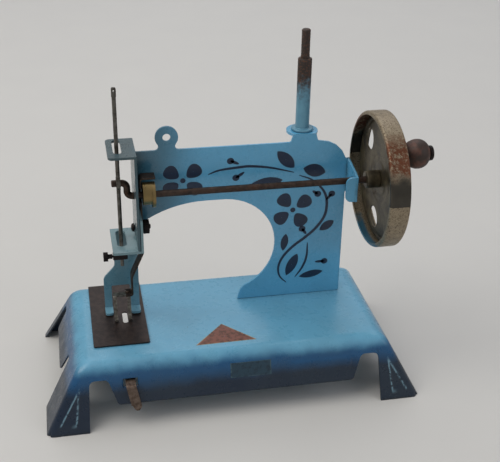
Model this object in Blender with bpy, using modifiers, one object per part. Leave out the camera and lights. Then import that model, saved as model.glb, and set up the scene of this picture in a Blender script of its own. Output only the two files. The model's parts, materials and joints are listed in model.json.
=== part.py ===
"""Toy hand-crank sewing machine of pressed sheet steel, built as separate pieces.

Frame: metres, +X to the right along the arm, +Y to the back, +Z up, floor at Z = 0.
The machine is modelled about the middle of its base, then shifted along X so that the
middle of its overall length is at the origin.
"""

import math

import bmesh
import bpy
from mathutils import Matrix, Vector

# ---------------------------------------------------------------- driving dimensions
GAP = 0.0003  # play between pieces that rest on each other
TURN_GAP = 0.0004  # radial play around a pin or a shaft
STEP = 0.0001  # how far one face of a fold stands back from the next

# base: one pressed pan with four flared corner feet
TOP_LENGTH = 0.164
TOP_DEPTH = 0.0795
BASE_HEIGHT = 0.0356
FLARE_X = 0.019  # how far each foot spreads past the top, along X
FLARE_Y = 0.0102
BASE_SHEET = 0.0009
EDGE_RADIUS = 0.006
FOOT_FRONT_WIDTH = 0.0215  # a foot's front face, at the floor
FOOT_SIDE_WIDTH = 0.0245  # a front foot's side face, at the floor
REAR_FOOT_SIDE_WIDTH = 0.0035
CUT_TOP = BASE_HEIGHT - 0.0086  # top of the cut-outs beside the feet
FRONT_CUT_WIDTH = 0.0096
FRONT_CUT_SLANT = 0.0047
SIDE_CUT_WIDTH = 0.0048
REAR_CUT_WIDTH = 0.0062
FRONT_SKIRT_CLEARANCE = 0.0135  # skirt's lower edge above the floor
SIDE_SKIRT_CLEARANCE = 0.0160

# needle plate
PLATE_SHEET = 0.0008
PLATE_LEFT = 0.0185  # left of the needle
PLATE_WIDTH = 0.0296
PLATE_FRONT = 0.0145  # from the front edge of the top
PLATE_REAR = 0.0030
SLOT_WIDTH = 0.0028
SLOT_LENGTH = 0.0110

# arm: one sheet, upright, folded at both ends
ARM_SHEET = 0.0013
ARM_Y = 0.0107  # its front face
ARM_TOP = BASE_HEIGHT + 0.0948
ARM_LEFT = -0.0476
ARM_RIGHT = 0.0694
SHOULDER_RADIUS = 0.0155
THROAT_X = 0.0015
THROAT_Z = BASE_HEIGHT + 0.0351
THROAT_RADIUS = 0.0290
BEAK_RADIUS = 0.0625
BEAK_SHIFT = 0.0100
FOOT_TOE_X = 0.0096
FOOT_TOE_RISE = 0.0062
FLANGE_DEPTH = 0.0092
EAR_X = -0.0287
EAR_RISE = 0.0070
EAR_RADIUS = 0.0061
EAR_HOLE_RADIUS = 0.0021
EAR_FILLET = 0.0020
HEAD_TOP = BASE_HEIGHT + 0.1028  # upper face of the top guide tab
HEAD_FRONT = -0.0142
TAB_REACH = 0.0128  # how far the guide tabs stand out to the left
COLLAR_RISE = 0.0044
COLLAR_RADIUS = 0.0085

# main shaft and its crank
SHAFT_Z = BASE_HEIGHT + 0.0752
SHAFT_RADIUS = 0.0018
CRANK_RADIUS = 0.0075
NEEDLE_X = -0.0552
CRANK_REACH = 0.0036  # pin past the needle bar
BEND_RADIUS = 0.0027

# needle bar, clamp and shank
BAR_RADIUS = 0.00105
BAR_TOP = BASE_HEIGHT + 0.1340
CLAMP_Z = BASE_HEIGHT + 0.0404
CLAMP_HEIGHT = 0.0028
CLAMP_DEPTH = 0.0038
SHANK_LENGTH = 0.0060

# presser bracket: side flange, lower guide tab and two-legged presser
LOWER_TAB_TOP = BASE_HEIGHT + 0.0509
LOWER_TAB_FRONT = -0.0164
FLANGE_TOP = BASE_HEIGHT + 0.0674
NECK_WIDTH = 0.0128
LEG_SPAN = 0.0192
LEG_WIDTH = 0.0042
NOTCH_TOP = BASE_HEIGHT + 0.0164
PANEL_NECK_Z = BASE_HEIGHT + 0.0284  # where the panel starts to widen
PANEL_WIDE_Z = BASE_HEIGHT + 0.0214
TOE_LENGTH = 0.0072

# feed lever, its pivot, cam and foot
PIVOT_Y = 0.0030
PIVOT_Z = BASE_HEIGHT + 0.0552
PIVOT_RADIUS = 0.0013
LEVER_SHEET = 0.0009
LEVER_WIDTH = 0.0070
CAM_RADIUS = 0.0060
CAM_THROW = 0.0008
CAM_LENGTH = 0.0064
FINGER_CLEARANCE = 0.0018
FOOT_TOP_Z = BASE_HEIGHT + 0.01455
LEVER_KNEE_HIGH = BASE_HEIGHT + 0.0409
LEVER_KNEE_LOW = BASE_HEIGHT + 0.0264
PRONG_WIDTH = 0.0019
FOOT_SHEET = 0.0008

# hand wheel and knob
WHEEL_RADIUS = 0.0370
WHEEL_LEFT = 0.0788
RIM_WIDTH = 0.0110
RIM_SHEET = 0.0010
RIM_LIP = 0.0012  # how far the rim turns in at its left edge
WEB_SHEET = 0.0010
HUB_RADIUS = 0.0048
WINDOW_CIRCLE = 0.0247
WINDOW_RADIAL = 0.0118
WINDOW_HALF_ANGLE = 15.0
WINDOW_ANGLES = (38.5, 158.5, 278.5)  # from +Y towards +Z
KNOB_CIRCLE = 0.0250
KNOB_ANGLE = math.radians(127.0)  # from +Y towards +Z
KNOB_RADIUS = 0.0078
KNOB_LENGTH = 0.0136
STEM_RADIUS = 0.0016
CAP_RADIUS = 0.0040
CAP_THICKNESS = 0.0021

# spool pin
PIN_X = 0.0452
PIN_Y = 0.0177
PIN_RADIUS = 0.0037
PIN_LENGTH = 0.0382
THREAD_RADIUS = 0.00235
THREAD_LENGTH = 0.0153

# looper lever under the base, with its thumb tab in front
LOOPER_WIDTH = 0.0052
LOOPER_SHEET = 0.0010
LOOPER_Z = BASE_HEIGHT - 0.0108
LOOPER_PIVOT_Y = -0.014
THUMB_BOTTOM = 0.0095
THUMB_LEAN = 0.0030

# ---------------------------------------------------------------- worked-out places
FOOT_X = TOP_LENGTH / 2 + FLARE_X
FOOT_Y = TOP_DEPTH / 2 + FLARE_Y
ARM_BACK = ARM_Y + ARM_SHEET
FACE_LEFT = ARM_LEFT
FACE_RIGHT = ARM_LEFT + ARM_SHEET
FACE_BOTTOM = LOWER_TAB_TOP + GAP + STEP
CRANK_PIN_Z = SHAFT_Z + CRANK_RADIUS
GUIDE_SLOT_LENGTH = 2 * (CRANK_RADIUS + BAR_RADIUS) + 0.0009
PLATE_TOP = BASE_HEIGHT + GAP + PLATE_SHEET
BRACKET_LEFT = FACE_RIGHT + GAP
BRACKET_RIGHT = BRACKET_LEFT + ARM_SHEET
LEVER_X = BRACKET_RIGHT + GAP + LEVER_SHEET / 2
CAM_LEFT = LEVER_X + LEVER_SHEET / 2 + 0.0005
FINGER_Z = SHAFT_Z + CAM_RADIUS + CAM_THROW + FINGER_CLEARANCE + LEVER_SHEET / 2
WEB_X = WHEEL_LEFT + 0.0058
WEB_RADIUS = WHEEL_RADIUS - RIM_SHEET - GAP
KNOB_Y = KNOB_CIRCLE * math.cos(KNOB_ANGLE)
KNOB_Z = SHAFT_Z + KNOB_CIRCLE * math.sin(KNOB_ANGLE)
KNOB_LEFT = WHEEL_LEFT + RIM_WIDTH + 0.0014
CAP_LEFT = KNOB_LEFT + KNOB_LENGTH + GAP
COLLAR_TOP = ARM_TOP + COLLAR_RISE
SHIFT_X = (FOOT_X - (CAP_LEFT + CAP_THICKNESS)) / 2

PARTS_NAME = "toy_sewing_machine"
CUTTERS_NAME = "construction_solids"


# ---------------------------------------------------------------- scene helpers
def clear_scene():
    """Remove every object, so that only the machine is in the file."""
    for obj in list(bpy.data.objects):
        bpy.data.objects.remove(obj, do_unlink=True)


def collection(name):
    """Return the named collection, linked to the scene."""
    found = bpy.data.collections.get(name)
    if found is None:
        found = bpy.data.collections.new(name)
        bpy.context.scene.collection.children.link(found)
    return found


def srgb(text):
    """Turn an sRGB hex colour into linear RGBA."""
    channels = [int(text[i : i + 2], 16) / 255 for i in (0, 2, 4)]
    linear = [c / 12.92 if c <= 0.04045 else ((c + 0.055) / 1.055) ** 2.4 for c in channels]
    return (*linear, 1.0)


def material(name, colour, roughness, metallic):
    """Return a Principled BSDF material, made once per name."""
    found = bpy.data.materials.get(name)
    if found is None:
        found = bpy.data.materials.new(name)
        found.use_nodes = True
        shader = found.node_tree.nodes["Principled BSDF"]
        shader.inputs["Base Color"].default_value = srgb(colour)
        shader.inputs["Roughness"].default_value = roughness
        shader.inputs["Metallic"].default_value = metallic
    return found


def add_object(name, mesh, finish=None, smooth_angle=35.0):
    """Make an object of the mesh: a part if it has a finish, else a construction solid."""
    obj = bpy.data.objects.new(name, mesh)
    if finish is None:
        collection(CUTTERS_NAME).objects.link(obj)
        obj.hide_render = True
        obj.display_type = "WIRE"
        return obj
    collection(PARTS_NAME).objects.link(obj)
    mesh.materials.clear()
    mesh.materials.append(finish)
    mesh.shade_smooth()
    mesh.set_sharp_from_angle(angle=math.radians(smooth_angle))
    return obj


def combine(obj, other, operation):
    """Add an exact Boolean modifier to obj."""
    modifier = obj.modifiers.new(operation.lower(), "BOOLEAN")
    modifier.operation = operation
    modifier.solver = "EXACT"
    modifier.object = other
    return obj


def cut(obj, *tools):
    """Cut every tool out of obj."""
    for tool in tools:
        combine(obj, tool, "DIFFERENCE")
    return obj


def join(obj, *pieces):
    """Fuse every piece into obj."""
    for piece in pieces:
        combine(obj, piece, "UNION")
    return obj


# ---------------------------------------------------------------- shape helpers
AXES = {
    "X": Matrix(((0, 0, 1, 0), (1, 0, 0, 0), (0, 1, 0, 0), (0, 0, 0, 1))),
    "Y": Matrix(((1, 0, 0, 0), (0, 0, -1, 0), (0, 1, 0, 0), (0, 0, 0, 1))),
    "Z": Matrix.Identity(4),
}


def arc(centre_u, centre_v, radius, start, end, steps=12):
    """Points on an arc from start to end, in degrees."""
    angles = [math.radians(start + (end - start) * i / steps) for i in range(steps + 1)]
    return [(centre_u + radius * math.cos(a), centre_v + radius * math.sin(a)) for a in angles]


def rounded(corners, steps=5, closed=True):
    """Replace each corner (u, v, radius) by an arc that is tangent to both its sides."""
    points = []
    count = len(corners)
    for i, (u, v, radius) in enumerate(corners):
        here = Vector((u, v))
        at_end = not closed and i in (0, count - 1)
        if radius <= 0 or at_end:
            points.append((u, v))
            continue
        before = (Vector(corners[i - 1][:2]) - here).normalized()
        after = (Vector(corners[(i + 1) % count][:2]) - here).normalized()
        half = before.angle(after) / 2
        middle = here + (before + after).normalized() * radius / math.sin(half)
        first = here + before * radius / math.tan(half) - middle
        last = here + after * radius / math.tan(half) - middle
        sweep = first.angle_signed(last)
        for step in range(steps + 1):
            turned = first.copy()
            turned.rotate(Matrix.Rotation(-sweep * step / steps, 2))
            points.append(tuple(middle + turned))
    return points


def curve_mesh(name, splines, closed, fill, extrude, bevel=0.0, bevel_resolution=4, flat=True):
    """Turn splines into a welded mesh through a curve object."""
    curve = bpy.data.curves.new(name, "CURVE")
    curve.dimensions = "2D" if flat else "3D"
    curve.fill_mode = fill
    curve.extrude = extrude
    curve.bevel_depth = bevel
    curve.bevel_resolution = bevel_resolution
    curve.use_fill_caps = bevel > 0
    for points in splines:
        spline = curve.splines.new("POLY")
        spline.points.add(len(points) - 1)
        for point, place in zip(spline.points, points):
            point.co = (*place, 0.0, 1.0) if len(place) == 2 else (*place, 1.0)
        spline.use_cyclic_u = closed
    holder = bpy.data.objects.new(name, curve)
    collection(CUTTERS_NAME).objects.link(holder)
    depsgraph = bpy.context.evaluated_depsgraph_get()
    mesh = bpy.data.meshes.new_from_object(holder.evaluated_get(depsgraph))
    bpy.data.objects.remove(holder, do_unlink=True)
    bpy.data.curves.remove(curve)
    weld = bmesh.new()
    weld.from_mesh(mesh)
    bmesh.ops.remove_doubles(weld, verts=weld.verts, dist=1e-6)
    bmesh.ops.recalc_face_normals(weld, faces=weld.faces)
    weld.to_mesh(mesh)
    weld.free()
    mesh.name = name
    return mesh


def sheet(name, outlines, thickness, axis, start, finish=None):
    """A flat plate: the first outline is its edge, the rest are holes.

    It lies across the axis, from start to start + thickness.
    """
    mesh = curve_mesh(name, outlines, True, "BOTH", thickness / 2)
    mesh.transform(AXES[axis])
    obj = add_object(name, mesh, finish)
    obj.location["XYZ".index(axis)] = start + thickness / 2
    return obj


def strip(name, path, width, thickness, axis, start, finish=None):
    """A bent strip: its edge follows the path, and its width runs along the axis."""
    mesh = curve_mesh(name, [path], False, "BOTH", width / 2)
    mesh.transform(AXES[axis])
    obj = add_object(name, mesh, finish)
    obj.location["XYZ".index(axis)] = start + width / 2
    solid = obj.modifiers.new("thickness", "SOLIDIFY")
    solid.thickness = thickness
    solid.offset = 0.0
    solid.use_even_offset = True
    return obj


def rod(name, radius, axis, start, end, across, finish=None, sides=32):
    """A straight cylinder along the axis, from start to end, centred on the across pair."""
    work = bmesh.new()
    bmesh.ops.create_cone(
        work, cap_ends=True, segments=sides, radius1=radius, radius2=radius, depth=end - start
    )
    mesh = bpy.data.meshes.new(name)
    work.to_mesh(mesh)
    work.free()
    mesh.transform(AXES[axis])
    obj = add_object(name, mesh, finish)
    place = list(across)
    place.insert("XYZ".index(axis), (start + end) / 2)
    obj.location = place
    return obj


def block(name, low, high, finish=None):
    """A box between two corners."""
    work = bmesh.new()
    bmesh.ops.create_cube(work, size=1.0)
    mesh = bpy.data.meshes.new(name)
    work.to_mesh(mesh)
    work.free()
    size = [b - a for a, b in zip(low, high)]
    mesh.transform(Matrix.Diagonal((*size, 1.0)))
    obj = add_object(name, mesh, finish)
    obj.location = [(a + b) / 2 for a, b in zip(low, high)]
    return obj


def turned(name, profile, axis, across, finish=None, steps=32):
    """A turned solid: the closed profile of (radius, along) pairs runs around the axis.

    The profile goes down its outer side and comes back up along the axis or the bore.
    """
    work = bmesh.new()
    points = [work.verts.new((radius, 0.0, along)) for radius, along in profile]
    hollow = min(radius for radius, _ in profile) > 1e-6
    pairs = list(zip(points, points[1:])) + ([(points[-1], points[0])] if hollow else [])
    for first, last in pairs:
        work.edges.new((first, last))
    mesh = bpy.data.meshes.new(name)
    work.to_mesh(mesh)
    work.free()
    obj = add_object(name, mesh, finish)
    screw = obj.modifiers.new("turning", "SCREW")
    screw.axis = "Z"
    screw.angle = 2 * math.pi
    screw.steps = steps
    screw.render_steps = steps
    screw.use_merge_vertices = True
    screw.merge_threshold = 0.00005
    if axis == "X":
        obj.rotation_euler = (0.0, math.pi / 2, 0.0)
    place = list(across)
    place.insert("XYZ".index(axis), 0.0)
    obj.location = place
    return obj


def tube(name, path, radius, finish=None, resolution=6):
    """A round wire along a 3-D path."""
    mesh = curve_mesh(name, [path], False, "FULL", 0.0, radius, resolution, flat=False)
    return add_object(name, mesh, finish)


def circle(centre_u, centre_v, radius, steps=28):
    """A closed ring of points."""
    return arc(centre_u, centre_v, radius, 0.0, 360.0 * (steps - 1) / steps, steps - 1)


def slot(centre_u, centre_v, width, length, steps=8):
    """A slot with round ends, its length along v."""
    half = (length - width) / 2
    return arc(centre_u, centre_v + half, width / 2, 0, 180, steps) + arc(
        centre_u, centre_v - half, width / 2, 180, 360, steps
    )


def knurled(centre_u, centre_v, radius, depth, teeth):
    """A toothed ring of points for a knurled edge."""
    points = []
    for i in range(2 * teeth):
        reach = radius if i % 2 == 0 else radius - depth
        angle = math.pi * i / teeth
        points.append((centre_u + reach * math.cos(angle), centre_v + reach * math.sin(angle)))
    return points


# ---------------------------------------------------------------- finishes
def finishes():
    """Every piece's plain finish."""
    return {
        "blue": material("blue_enamel", "6FA9C9", 0.35, 0.0),
        "blue_dark": material("blue_enamel_airbrushed", "3F7FA6", 0.35, 0.0),
        "plate": material("bronzed_steel", "3A332E", 0.5, 0.8),
        "rod": material("rusty_rod", "6A4A33", 0.6, 0.7),
        "bar": material("dark_steel_bar", "4A4640", 0.45, 0.9),
        "brass": material("tarnished_brass", "8A7650", 0.45, 0.9),
        "nickel": material("worn_nickel", "A79F8C", 0.3, 0.9),
        "web": material("dull_nickel", "7A7466", 0.4, 0.9),
        "wood": material("stained_wood", "3B241B", 0.5, 0.0),
        "black": material("blackened_steel", "26231F", 0.5, 0.7),
        "spring": material("brown_spring_steel", "4F3F33", 0.45, 0.8),
        "pin": material("painted_pin", "6D8EA3", 0.4, 0.1),
        "thumb": material("rusty_strip", "5B4A3D", 0.6, 0.7),
    }


# ---------------------------------------------------------------- base
def pan_half_width(height):
    """Half the pan's length at a height, outside."""
    return FOOT_X - FLARE_X * height / BASE_HEIGHT


def pan_half_depth(height):
    """Half the pan's depth at a height, outside."""
    return FOOT_Y - FLARE_Y * height / BASE_HEIGHT


def build_base(look):
    """The pan: a flared shell, trimmed at the floor, with cut-outs between feet and skirts."""
    below = -0.004
    work = bmesh.new()
    bmesh.ops.create_cube(work, size=2.0)
    for vert in work.verts:
        height = BASE_HEIGHT if vert.co.z > 0 else below
        vert.co = (
            math.copysign(pan_half_width(height), vert.co.x),
            math.copysign(pan_half_depth(height), vert.co.y),
            height,
        )
    bottom = [f for f in work.faces if all(v.co.z < 0 for v in f.verts)]
    bmesh.ops.delete(work, geom=bottom, context="FACES_ONLY")
    rim = [e for e in work.edges if all(v.co.z > BASE_HEIGHT / 2 for v in e.verts)]
    bmesh.ops.bevel(
        work, geom=rim, offset=EDGE_RADIUS, segments=4, profile=0.5, affect="EDGES"
    )
    mesh = bpy.data.meshes.new("base_pan")
    work.to_mesh(mesh)
    work.free()
    pan = add_object("base_pan", mesh, look["blue_dark"], 30.0)
    shell = pan.modifiers.new("sheet", "SOLIDIFY")
    shell.thickness = BASE_SHEET
    shell.offset = -1.0
    shell.use_even_offset = True

    floor = block("floor_trim", (-0.2, -0.2, -0.02), (0.2, 0.2, 0.0))
    inner = FOOT_X - FOOT_FRONT_WIDTH
    outer = inner - 0.0019
    half = [
        (inner, -0.01, 0.0),
        (outer, CUT_TOP, 0.003),
        (outer - FRONT_CUT_WIDTH, CUT_TOP, 0.003),
        (outer - FRONT_CUT_WIDTH - FRONT_CUT_SLANT, FRONT_SKIRT_CLEARANCE, 0.002),
    ]
    front_gap = rounded(half + [(-u, v, r) for u, v, r in reversed(half)])
    front = sheet("front_gap", [front_gap], 0.2, "Y", -0.1)
    front_foot = -(FOOT_Y - FOOT_SIDE_WIDTH)
    rear_foot = FOOT_Y - REAR_FOOT_SIDE_WIDTH
    front_cut = front_foot + 0.0070
    rear_cut = rear_foot - 0.0105
    side_gap = rounded(
        [
            (front_foot, -0.01, 0.0),
            (front_cut, CUT_TOP - 0.001, 0.0015),
            (front_cut + SIDE_CUT_WIDTH, CUT_TOP - 0.001, 0.0015),
            (front_cut + SIDE_CUT_WIDTH + 0.001, SIDE_SKIRT_CLEARANCE, 0.002),
            (rear_cut - REAR_CUT_WIDTH - 0.0015, SIDE_SKIRT_CLEARANCE, 0.002),
            (rear_cut - REAR_CUT_WIDTH, CUT_TOP - 0.001, 0.002),
            (rear_cut, CUT_TOP - 0.001, 0.002),
            (rear_foot, -0.01, 0.0),
        ]
    )
    side = sheet("side_gap", [side_gap], 0.3, "X", -0.15)
    slot_y = pan_half_depth(LOOPER_Z)
    thumb_slot = block(
        "thumb_slot",
        (NEEDLE_X - 0.0050, -slot_y - 0.004, LOOPER_Z - 0.0021),
        (NEEDLE_X + 0.0026, -slot_y + 0.004, LOOPER_Z + 0.0021),
    )
    well = block(
        "needle_well",
        (NEEDLE_X - 0.0065, -0.010, BASE_HEIGHT - 0.003),
        (NEEDLE_X + 0.0065, 0.011, BASE_HEIGHT + 0.002),
    )
    cut(pan, floor, front, side, thumb_slot, well)
    for i, x in enumerate(rivet_places()):
        hole = rod(
            f"pan_rivet_hole_{i}", 0.0015, "Z", BASE_HEIGHT - 0.003, BASE_HEIGHT + 0.002,
            (x, rivet_row()), sides=20,
        )
        cut(pan, hole)


def build_needle_plate(look):
    """The bronzed plate let over the left end of the top, with the needle slot."""
    left = NEEDLE_X - PLATE_LEFT
    right = left + PLATE_WIDTH
    front = -TOP_DEPTH / 2 + PLATE_FRONT
    back = TOP_DEPTH / 2 - PLATE_REAR
    edge = rounded([(left, front, 0.001), (right, front, 0.001), (right, back, 0), (left, back, 0)])
    hole = slot(NEEDLE_X, 0.0008, SLOT_WIDTH, SLOT_LENGTH)
    sheet("needle_plate", [edge, hole], PLATE_SHEET, "Z", BASE_HEIGHT + GAP, look["plate"])


# ---------------------------------------------------------------- arm
def rivet_places():
    """X of the rivets that hold the arm's foot flange to the base."""
    return (FOOT_TOE_X + 0.010, ARM_RIGHT - 0.010)


def rivet_row():
    """Y of the same rivets."""
    return ARM_BACK + FLANGE_DEPTH / 2


def arm_outline():
    """The arm's edge, seen from the front, anticlockwise from the toe of its foot."""
    bottom = BASE_HEIGHT + GAP
    dx = math.sqrt((EAR_RADIUS + EAR_FILLET) ** 2 - (EAR_RISE - EAR_FILLET) ** 2)
    lean = math.degrees(math.atan2(EAR_RISE - EAR_FILLET, dx))
    ear_z = ARM_TOP + EAR_RISE
    neck = COLLAR_RADIUS - 0.0022
    ear = (
        list(reversed(arc(EAR_X + dx, ARM_TOP + EAR_FILLET, EAR_FILLET, 180 - lean, 270, 5)))
        + arc(EAR_X, ear_z, EAR_RADIUS, -lean, 180 + lean, 22)
        + list(reversed(arc(EAR_X - dx, ARM_TOP + EAR_FILLET, EAR_FILLET, 270, 360 + lean, 5)))
    )
    right_side = rounded(
        [
            (FOOT_TOE_X, bottom, 0),
            (ARM_RIGHT, bottom, 0),
            (ARM_RIGHT, ARM_TOP, SHOULDER_RADIUS),
            (PIN_X + neck + 0.0012, ARM_TOP, 0.0012),
            (PIN_X + neck, COLLAR_TOP - STEP, 0),
            (PIN_X - neck, COLLAR_TOP - STEP, 0),
            (PIN_X - neck - 0.0012, ARM_TOP, 0.0012),
            (EAR_X + dx + 0.002, ARM_TOP, 0),
        ],
        closed=False,
    )
    beak_x = THROAT_X - BEAK_SHIFT
    beak_z = THROAT_Z + THROAT_RADIUS - BEAK_RADIUS
    beak_end = 180 - math.degrees(math.asin((FACE_BOTTOM - beak_z) / BEAK_RADIUS))
    left_side = [(ARM_LEFT + STEP, ARM_TOP), (ARM_LEFT + STEP, FACE_BOTTOM)] + list(
        reversed(arc(beak_x, beak_z, BEAK_RADIUS, 90, beak_end, 10))
    )
    throat = list(reversed(arc(THROAT_X, THROAT_Z, THROAT_RADIUS, -66, 88, 22)))
    toe = rounded(
        [
            (*throat[-1], 0),
            (FOOT_TOE_X + 0.0018, bottom + FOOT_TOE_RISE, 0.0012),
            (FOOT_TOE_X, bottom, 0),
        ],
        closed=False,
    )
    return right_side + ear + left_side + throat[:-1] + toe[:-1]


def build_arm(look):
    """One pressed blank: arm, faceplate fold, top guide tab, collar, bearing fold and foot."""
    arm = sheet(
        "arm_plate",
        [arm_outline(), circle(EAR_X, ARM_TOP + EAR_RISE, EAR_HOLE_RADIUS, 20)],
        ARM_SHEET,
        "Y",
        ARM_Y,
        look["blue"],
    )
    bore = SHAFT_RADIUS + TURN_GAP
    face = sheet(
        "faceplate",
        [
            [
                (ARM_BACK + STEP, FACE_BOTTOM),
                (ARM_BACK + STEP, ARM_TOP + STEP),
                (ARM_Y, ARM_TOP + STEP),
                (ARM_Y, HEAD_TOP - STEP),
                (HEAD_FRONT, HEAD_TOP - STEP),
                (HEAD_FRONT - 0.0020, FACE_BOTTOM),
            ],
            circle(0.0, SHAFT_Z, bore),
            circle(PIVOT_Y, PIVOT_Z, PIVOT_RADIUS + GAP, 20),
        ],
        ARM_SHEET,
        "X",
        FACE_LEFT,
    )
    tab_left = FACE_LEFT - TAB_REACH
    tab = sheet(
        "top_tab",
        [
            rounded(
                [
                    (FACE_RIGHT - STEP, HEAD_FRONT - STEP, 0),
                    (FACE_RIGHT - STEP, ARM_Y + STEP, 0),
                    (tab_left, ARM_Y + STEP, 0.0025),
                    (tab_left, HEAD_FRONT - STEP, 0.0025),
                ]
            ),
            slot(NEEDLE_X, 0.0, 0.0042, GUIDE_SLOT_LENGTH),
        ],
        ARM_SHEET,
        "Z",
        HEAD_TOP - ARM_SHEET,
    )
    neck = COLLAR_RADIUS - 0.0022 + STEP
    collar = sheet(
        "collar",
        [
            [(PIN_X - neck, ARM_Y + STEP), (PIN_X + neck, ARM_Y + STEP)]
            + arc(PIN_X, PIN_Y, COLLAR_RADIUS, -40, 220, 26),
            circle(PIN_X, PIN_Y, 0.0025 + GAP, 20),
        ],
        ARM_SHEET,
        "Z",
        COLLAR_TOP - ARM_SHEET,
    )
    bearing_left = ARM_RIGHT + GAP
    bump = block(
        "bearing_root",
        (ARM_RIGHT - 0.003, ARM_Y + STEP, SHAFT_Z - 0.0115 + STEP),
        (bearing_left + ARM_SHEET - STEP, ARM_BACK - STEP, SHAFT_Z + 0.0085 - STEP),
    )
    lip_front = -0.0068
    ear = sheet(
        "bearing_ear",
        [
            [
                (ARM_BACK, SHAFT_Z - 0.0115),
                (ARM_BACK, SHAFT_Z + 0.0085),
                (-0.0030, SHAFT_Z + 0.0058),
                (lip_front, SHAFT_Z + 0.0045),
                (lip_front, SHAFT_Z - 0.0097),
                (0.0, SHAFT_Z - 0.0107),
            ],
            circle(0.0, SHAFT_Z, bore),
        ],
        ARM_SHEET,
        "X",
        bearing_left,
    )
    lip = sheet(
        "bearing_lip",
        [
            rounded(
                [
                    (bearing_left + ARM_SHEET - STEP, SHAFT_Z - 0.0097 + STEP, 0),
                    (bearing_left + ARM_SHEET - STEP, SHAFT_Z + 0.0045 - STEP, 0),
                    (bearing_left - 0.0051, SHAFT_Z + 0.0045 - STEP, 0.0032),
                    (bearing_left - 0.0051, SHAFT_Z - 0.0097 + STEP, 0.0032),
                ]
            )
        ],
        ARM_SHEET,
        "Y",
        lip_front + STEP,
    )
    flange = block(
        "foot_flange",
        (FOOT_TOE_X + 0.004, ARM_Y + STEP, BASE_HEIGHT + GAP + STEP),
        (ARM_RIGHT - 0.003, ARM_BACK + FLANGE_DEPTH, BASE_HEIGHT + GAP + ARM_SHEET),
    )
    join(arm, face, tab, collar, bump, ear, lip, flange)
    for i, x in enumerate(rivet_places()):
        hole = rod(
            f"arm_rivet_hole_{i}", 0.0015, "Z", BASE_HEIGHT - 0.001, BASE_HEIGHT + 0.004,
            (x, rivet_row()), sides=20,
        )
        cut(arm, hole)


def build_arm_rivets(look):
    """Two tubular rivets through the foot flange and the base."""
    low = BASE_HEIGHT - BASE_SHEET - GAP
    high = BASE_HEIGHT + 2 * GAP + ARM_SHEET
    for side, x in zip(("left", "right"), rivet_places()):
        profile = [
            (0.0, high + 0.0010), (0.0014, high + 0.0009), (0.0025, high + 0.0003), (0.0025, high),
            (0.0012, high), (0.0012, low), (0.0023, low), (0.0021, low - 0.0008), (0.0, low - 0.0008),
        ]
        turned(f"arm_rivet_{side}", profile, "Z", (x, rivet_row()), look["blue"], 20)


def build_presser_bracket(look):
    """Side flange, lower guide tab, and the two-legged presser that hangs from the tab."""
    tab_left = FACE_LEFT - TAB_REACH
    tab_low = LOWER_TAB_TOP - ARM_SHEET
    panel_y = ARM_Y - 0.0007
    flange = sheet(
        "presser_bracket",
        [
            rounded(
                [
                    (LOWER_TAB_FRONT, tab_low + STEP, 0),
                    (panel_y + ARM_SHEET - STEP, tab_low + STEP, 0),
                    (panel_y + ARM_SHEET - STEP, LOWER_TAB_TOP - STEP, 0),
                    (ARM_Y - GAP, LOWER_TAB_TOP - STEP, 0),
                    (ARM_Y - GAP, FLANGE_TOP, 0.004),
                    (HEAD_FRONT - 0.0015, FLANGE_TOP, 0.002),
                ]
            )
        ],
        ARM_SHEET,
        "X",
        BRACKET_LEFT,
        look["blue"],
    )
    tab = sheet(
        "lower_tab",
        [
            rounded(
                [
                    (BRACKET_RIGHT - STEP, LOWER_TAB_FRONT + STEP, 0),
                    (BRACKET_RIGHT - STEP, panel_y + ARM_SHEET + STEP, 0),
                    (tab_left, panel_y + ARM_SHEET + STEP, 0),
                    (tab_left, LOWER_TAB_FRONT + STEP, 0.001),
                ]
            ),
            slot(NEEDLE_X, 0.0, 0.0050, GUIDE_SLOT_LENGTH),
        ],
        ARM_SHEET,
        "Z",
        tab_low,
    )
    right = BRACKET_LEFT - 0.0002
    left = right - LEG_SPAN
    neck = right - NECK_WIDTH
    toe_z = PLATE_TOP + 0.0005
    sole = toe_z + ARM_SHEET
    panel = sheet(
        "presser_panel",
        [
            rounded(
                [
                    (right, toe_z + STEP, 0),
                    (right, LOWER_TAB_TOP - 2 * STEP, 0),
                    (neck, LOWER_TAB_TOP - 2 * STEP, 0),
                    (neck, PANEL_NECK_Z, 0.004),
                    (left, PANEL_WIDE_Z, 0.004),
                    (left, toe_z + STEP, 0),
                    (left + LEG_WIDTH, toe_z + STEP, 0),
                    (left + LEG_WIDTH, NOTCH_TOP, 0.0008),
                    (right - LEG_WIDTH - 0.0008, NOTCH_TOP, 0.0008),
                    (right - LEG_WIDTH - 0.0008, toe_z + STEP, 0),
                ]
            )
        ],
        ARM_SHEET,
        "Y",
        panel_y,
    )
    join(flange, tab, panel)
    for side, low, high in (
        ("left", left - STEP, left + LEG_WIDTH + STEP),
        ("right", right - LEG_WIDTH - 0.0008 - STEP, right + STEP),
    ):
        edge = rounded(
            [
                (low, panel_y + ARM_SHEET + STEP, 0),
                (low, panel_y - TOE_LENGTH, 0.0016),
                (high, panel_y - TOE_LENGTH, 0.0016),
                (high, panel_y + ARM_SHEET + STEP, 0),
            ]
        )
        join(flange, sheet(f"toe_{side}", [edge], sole - toe_z, "Z", toe_z))
    hole = rod(
        "flange_pivot_hole", PIVOT_RADIUS + GAP, "X", BRACKET_LEFT - 0.002, BRACKET_RIGHT + 0.002,
        (PIVOT_Y, PIVOT_Z), sides=24,
    )
    cut(flange, hole)


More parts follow.
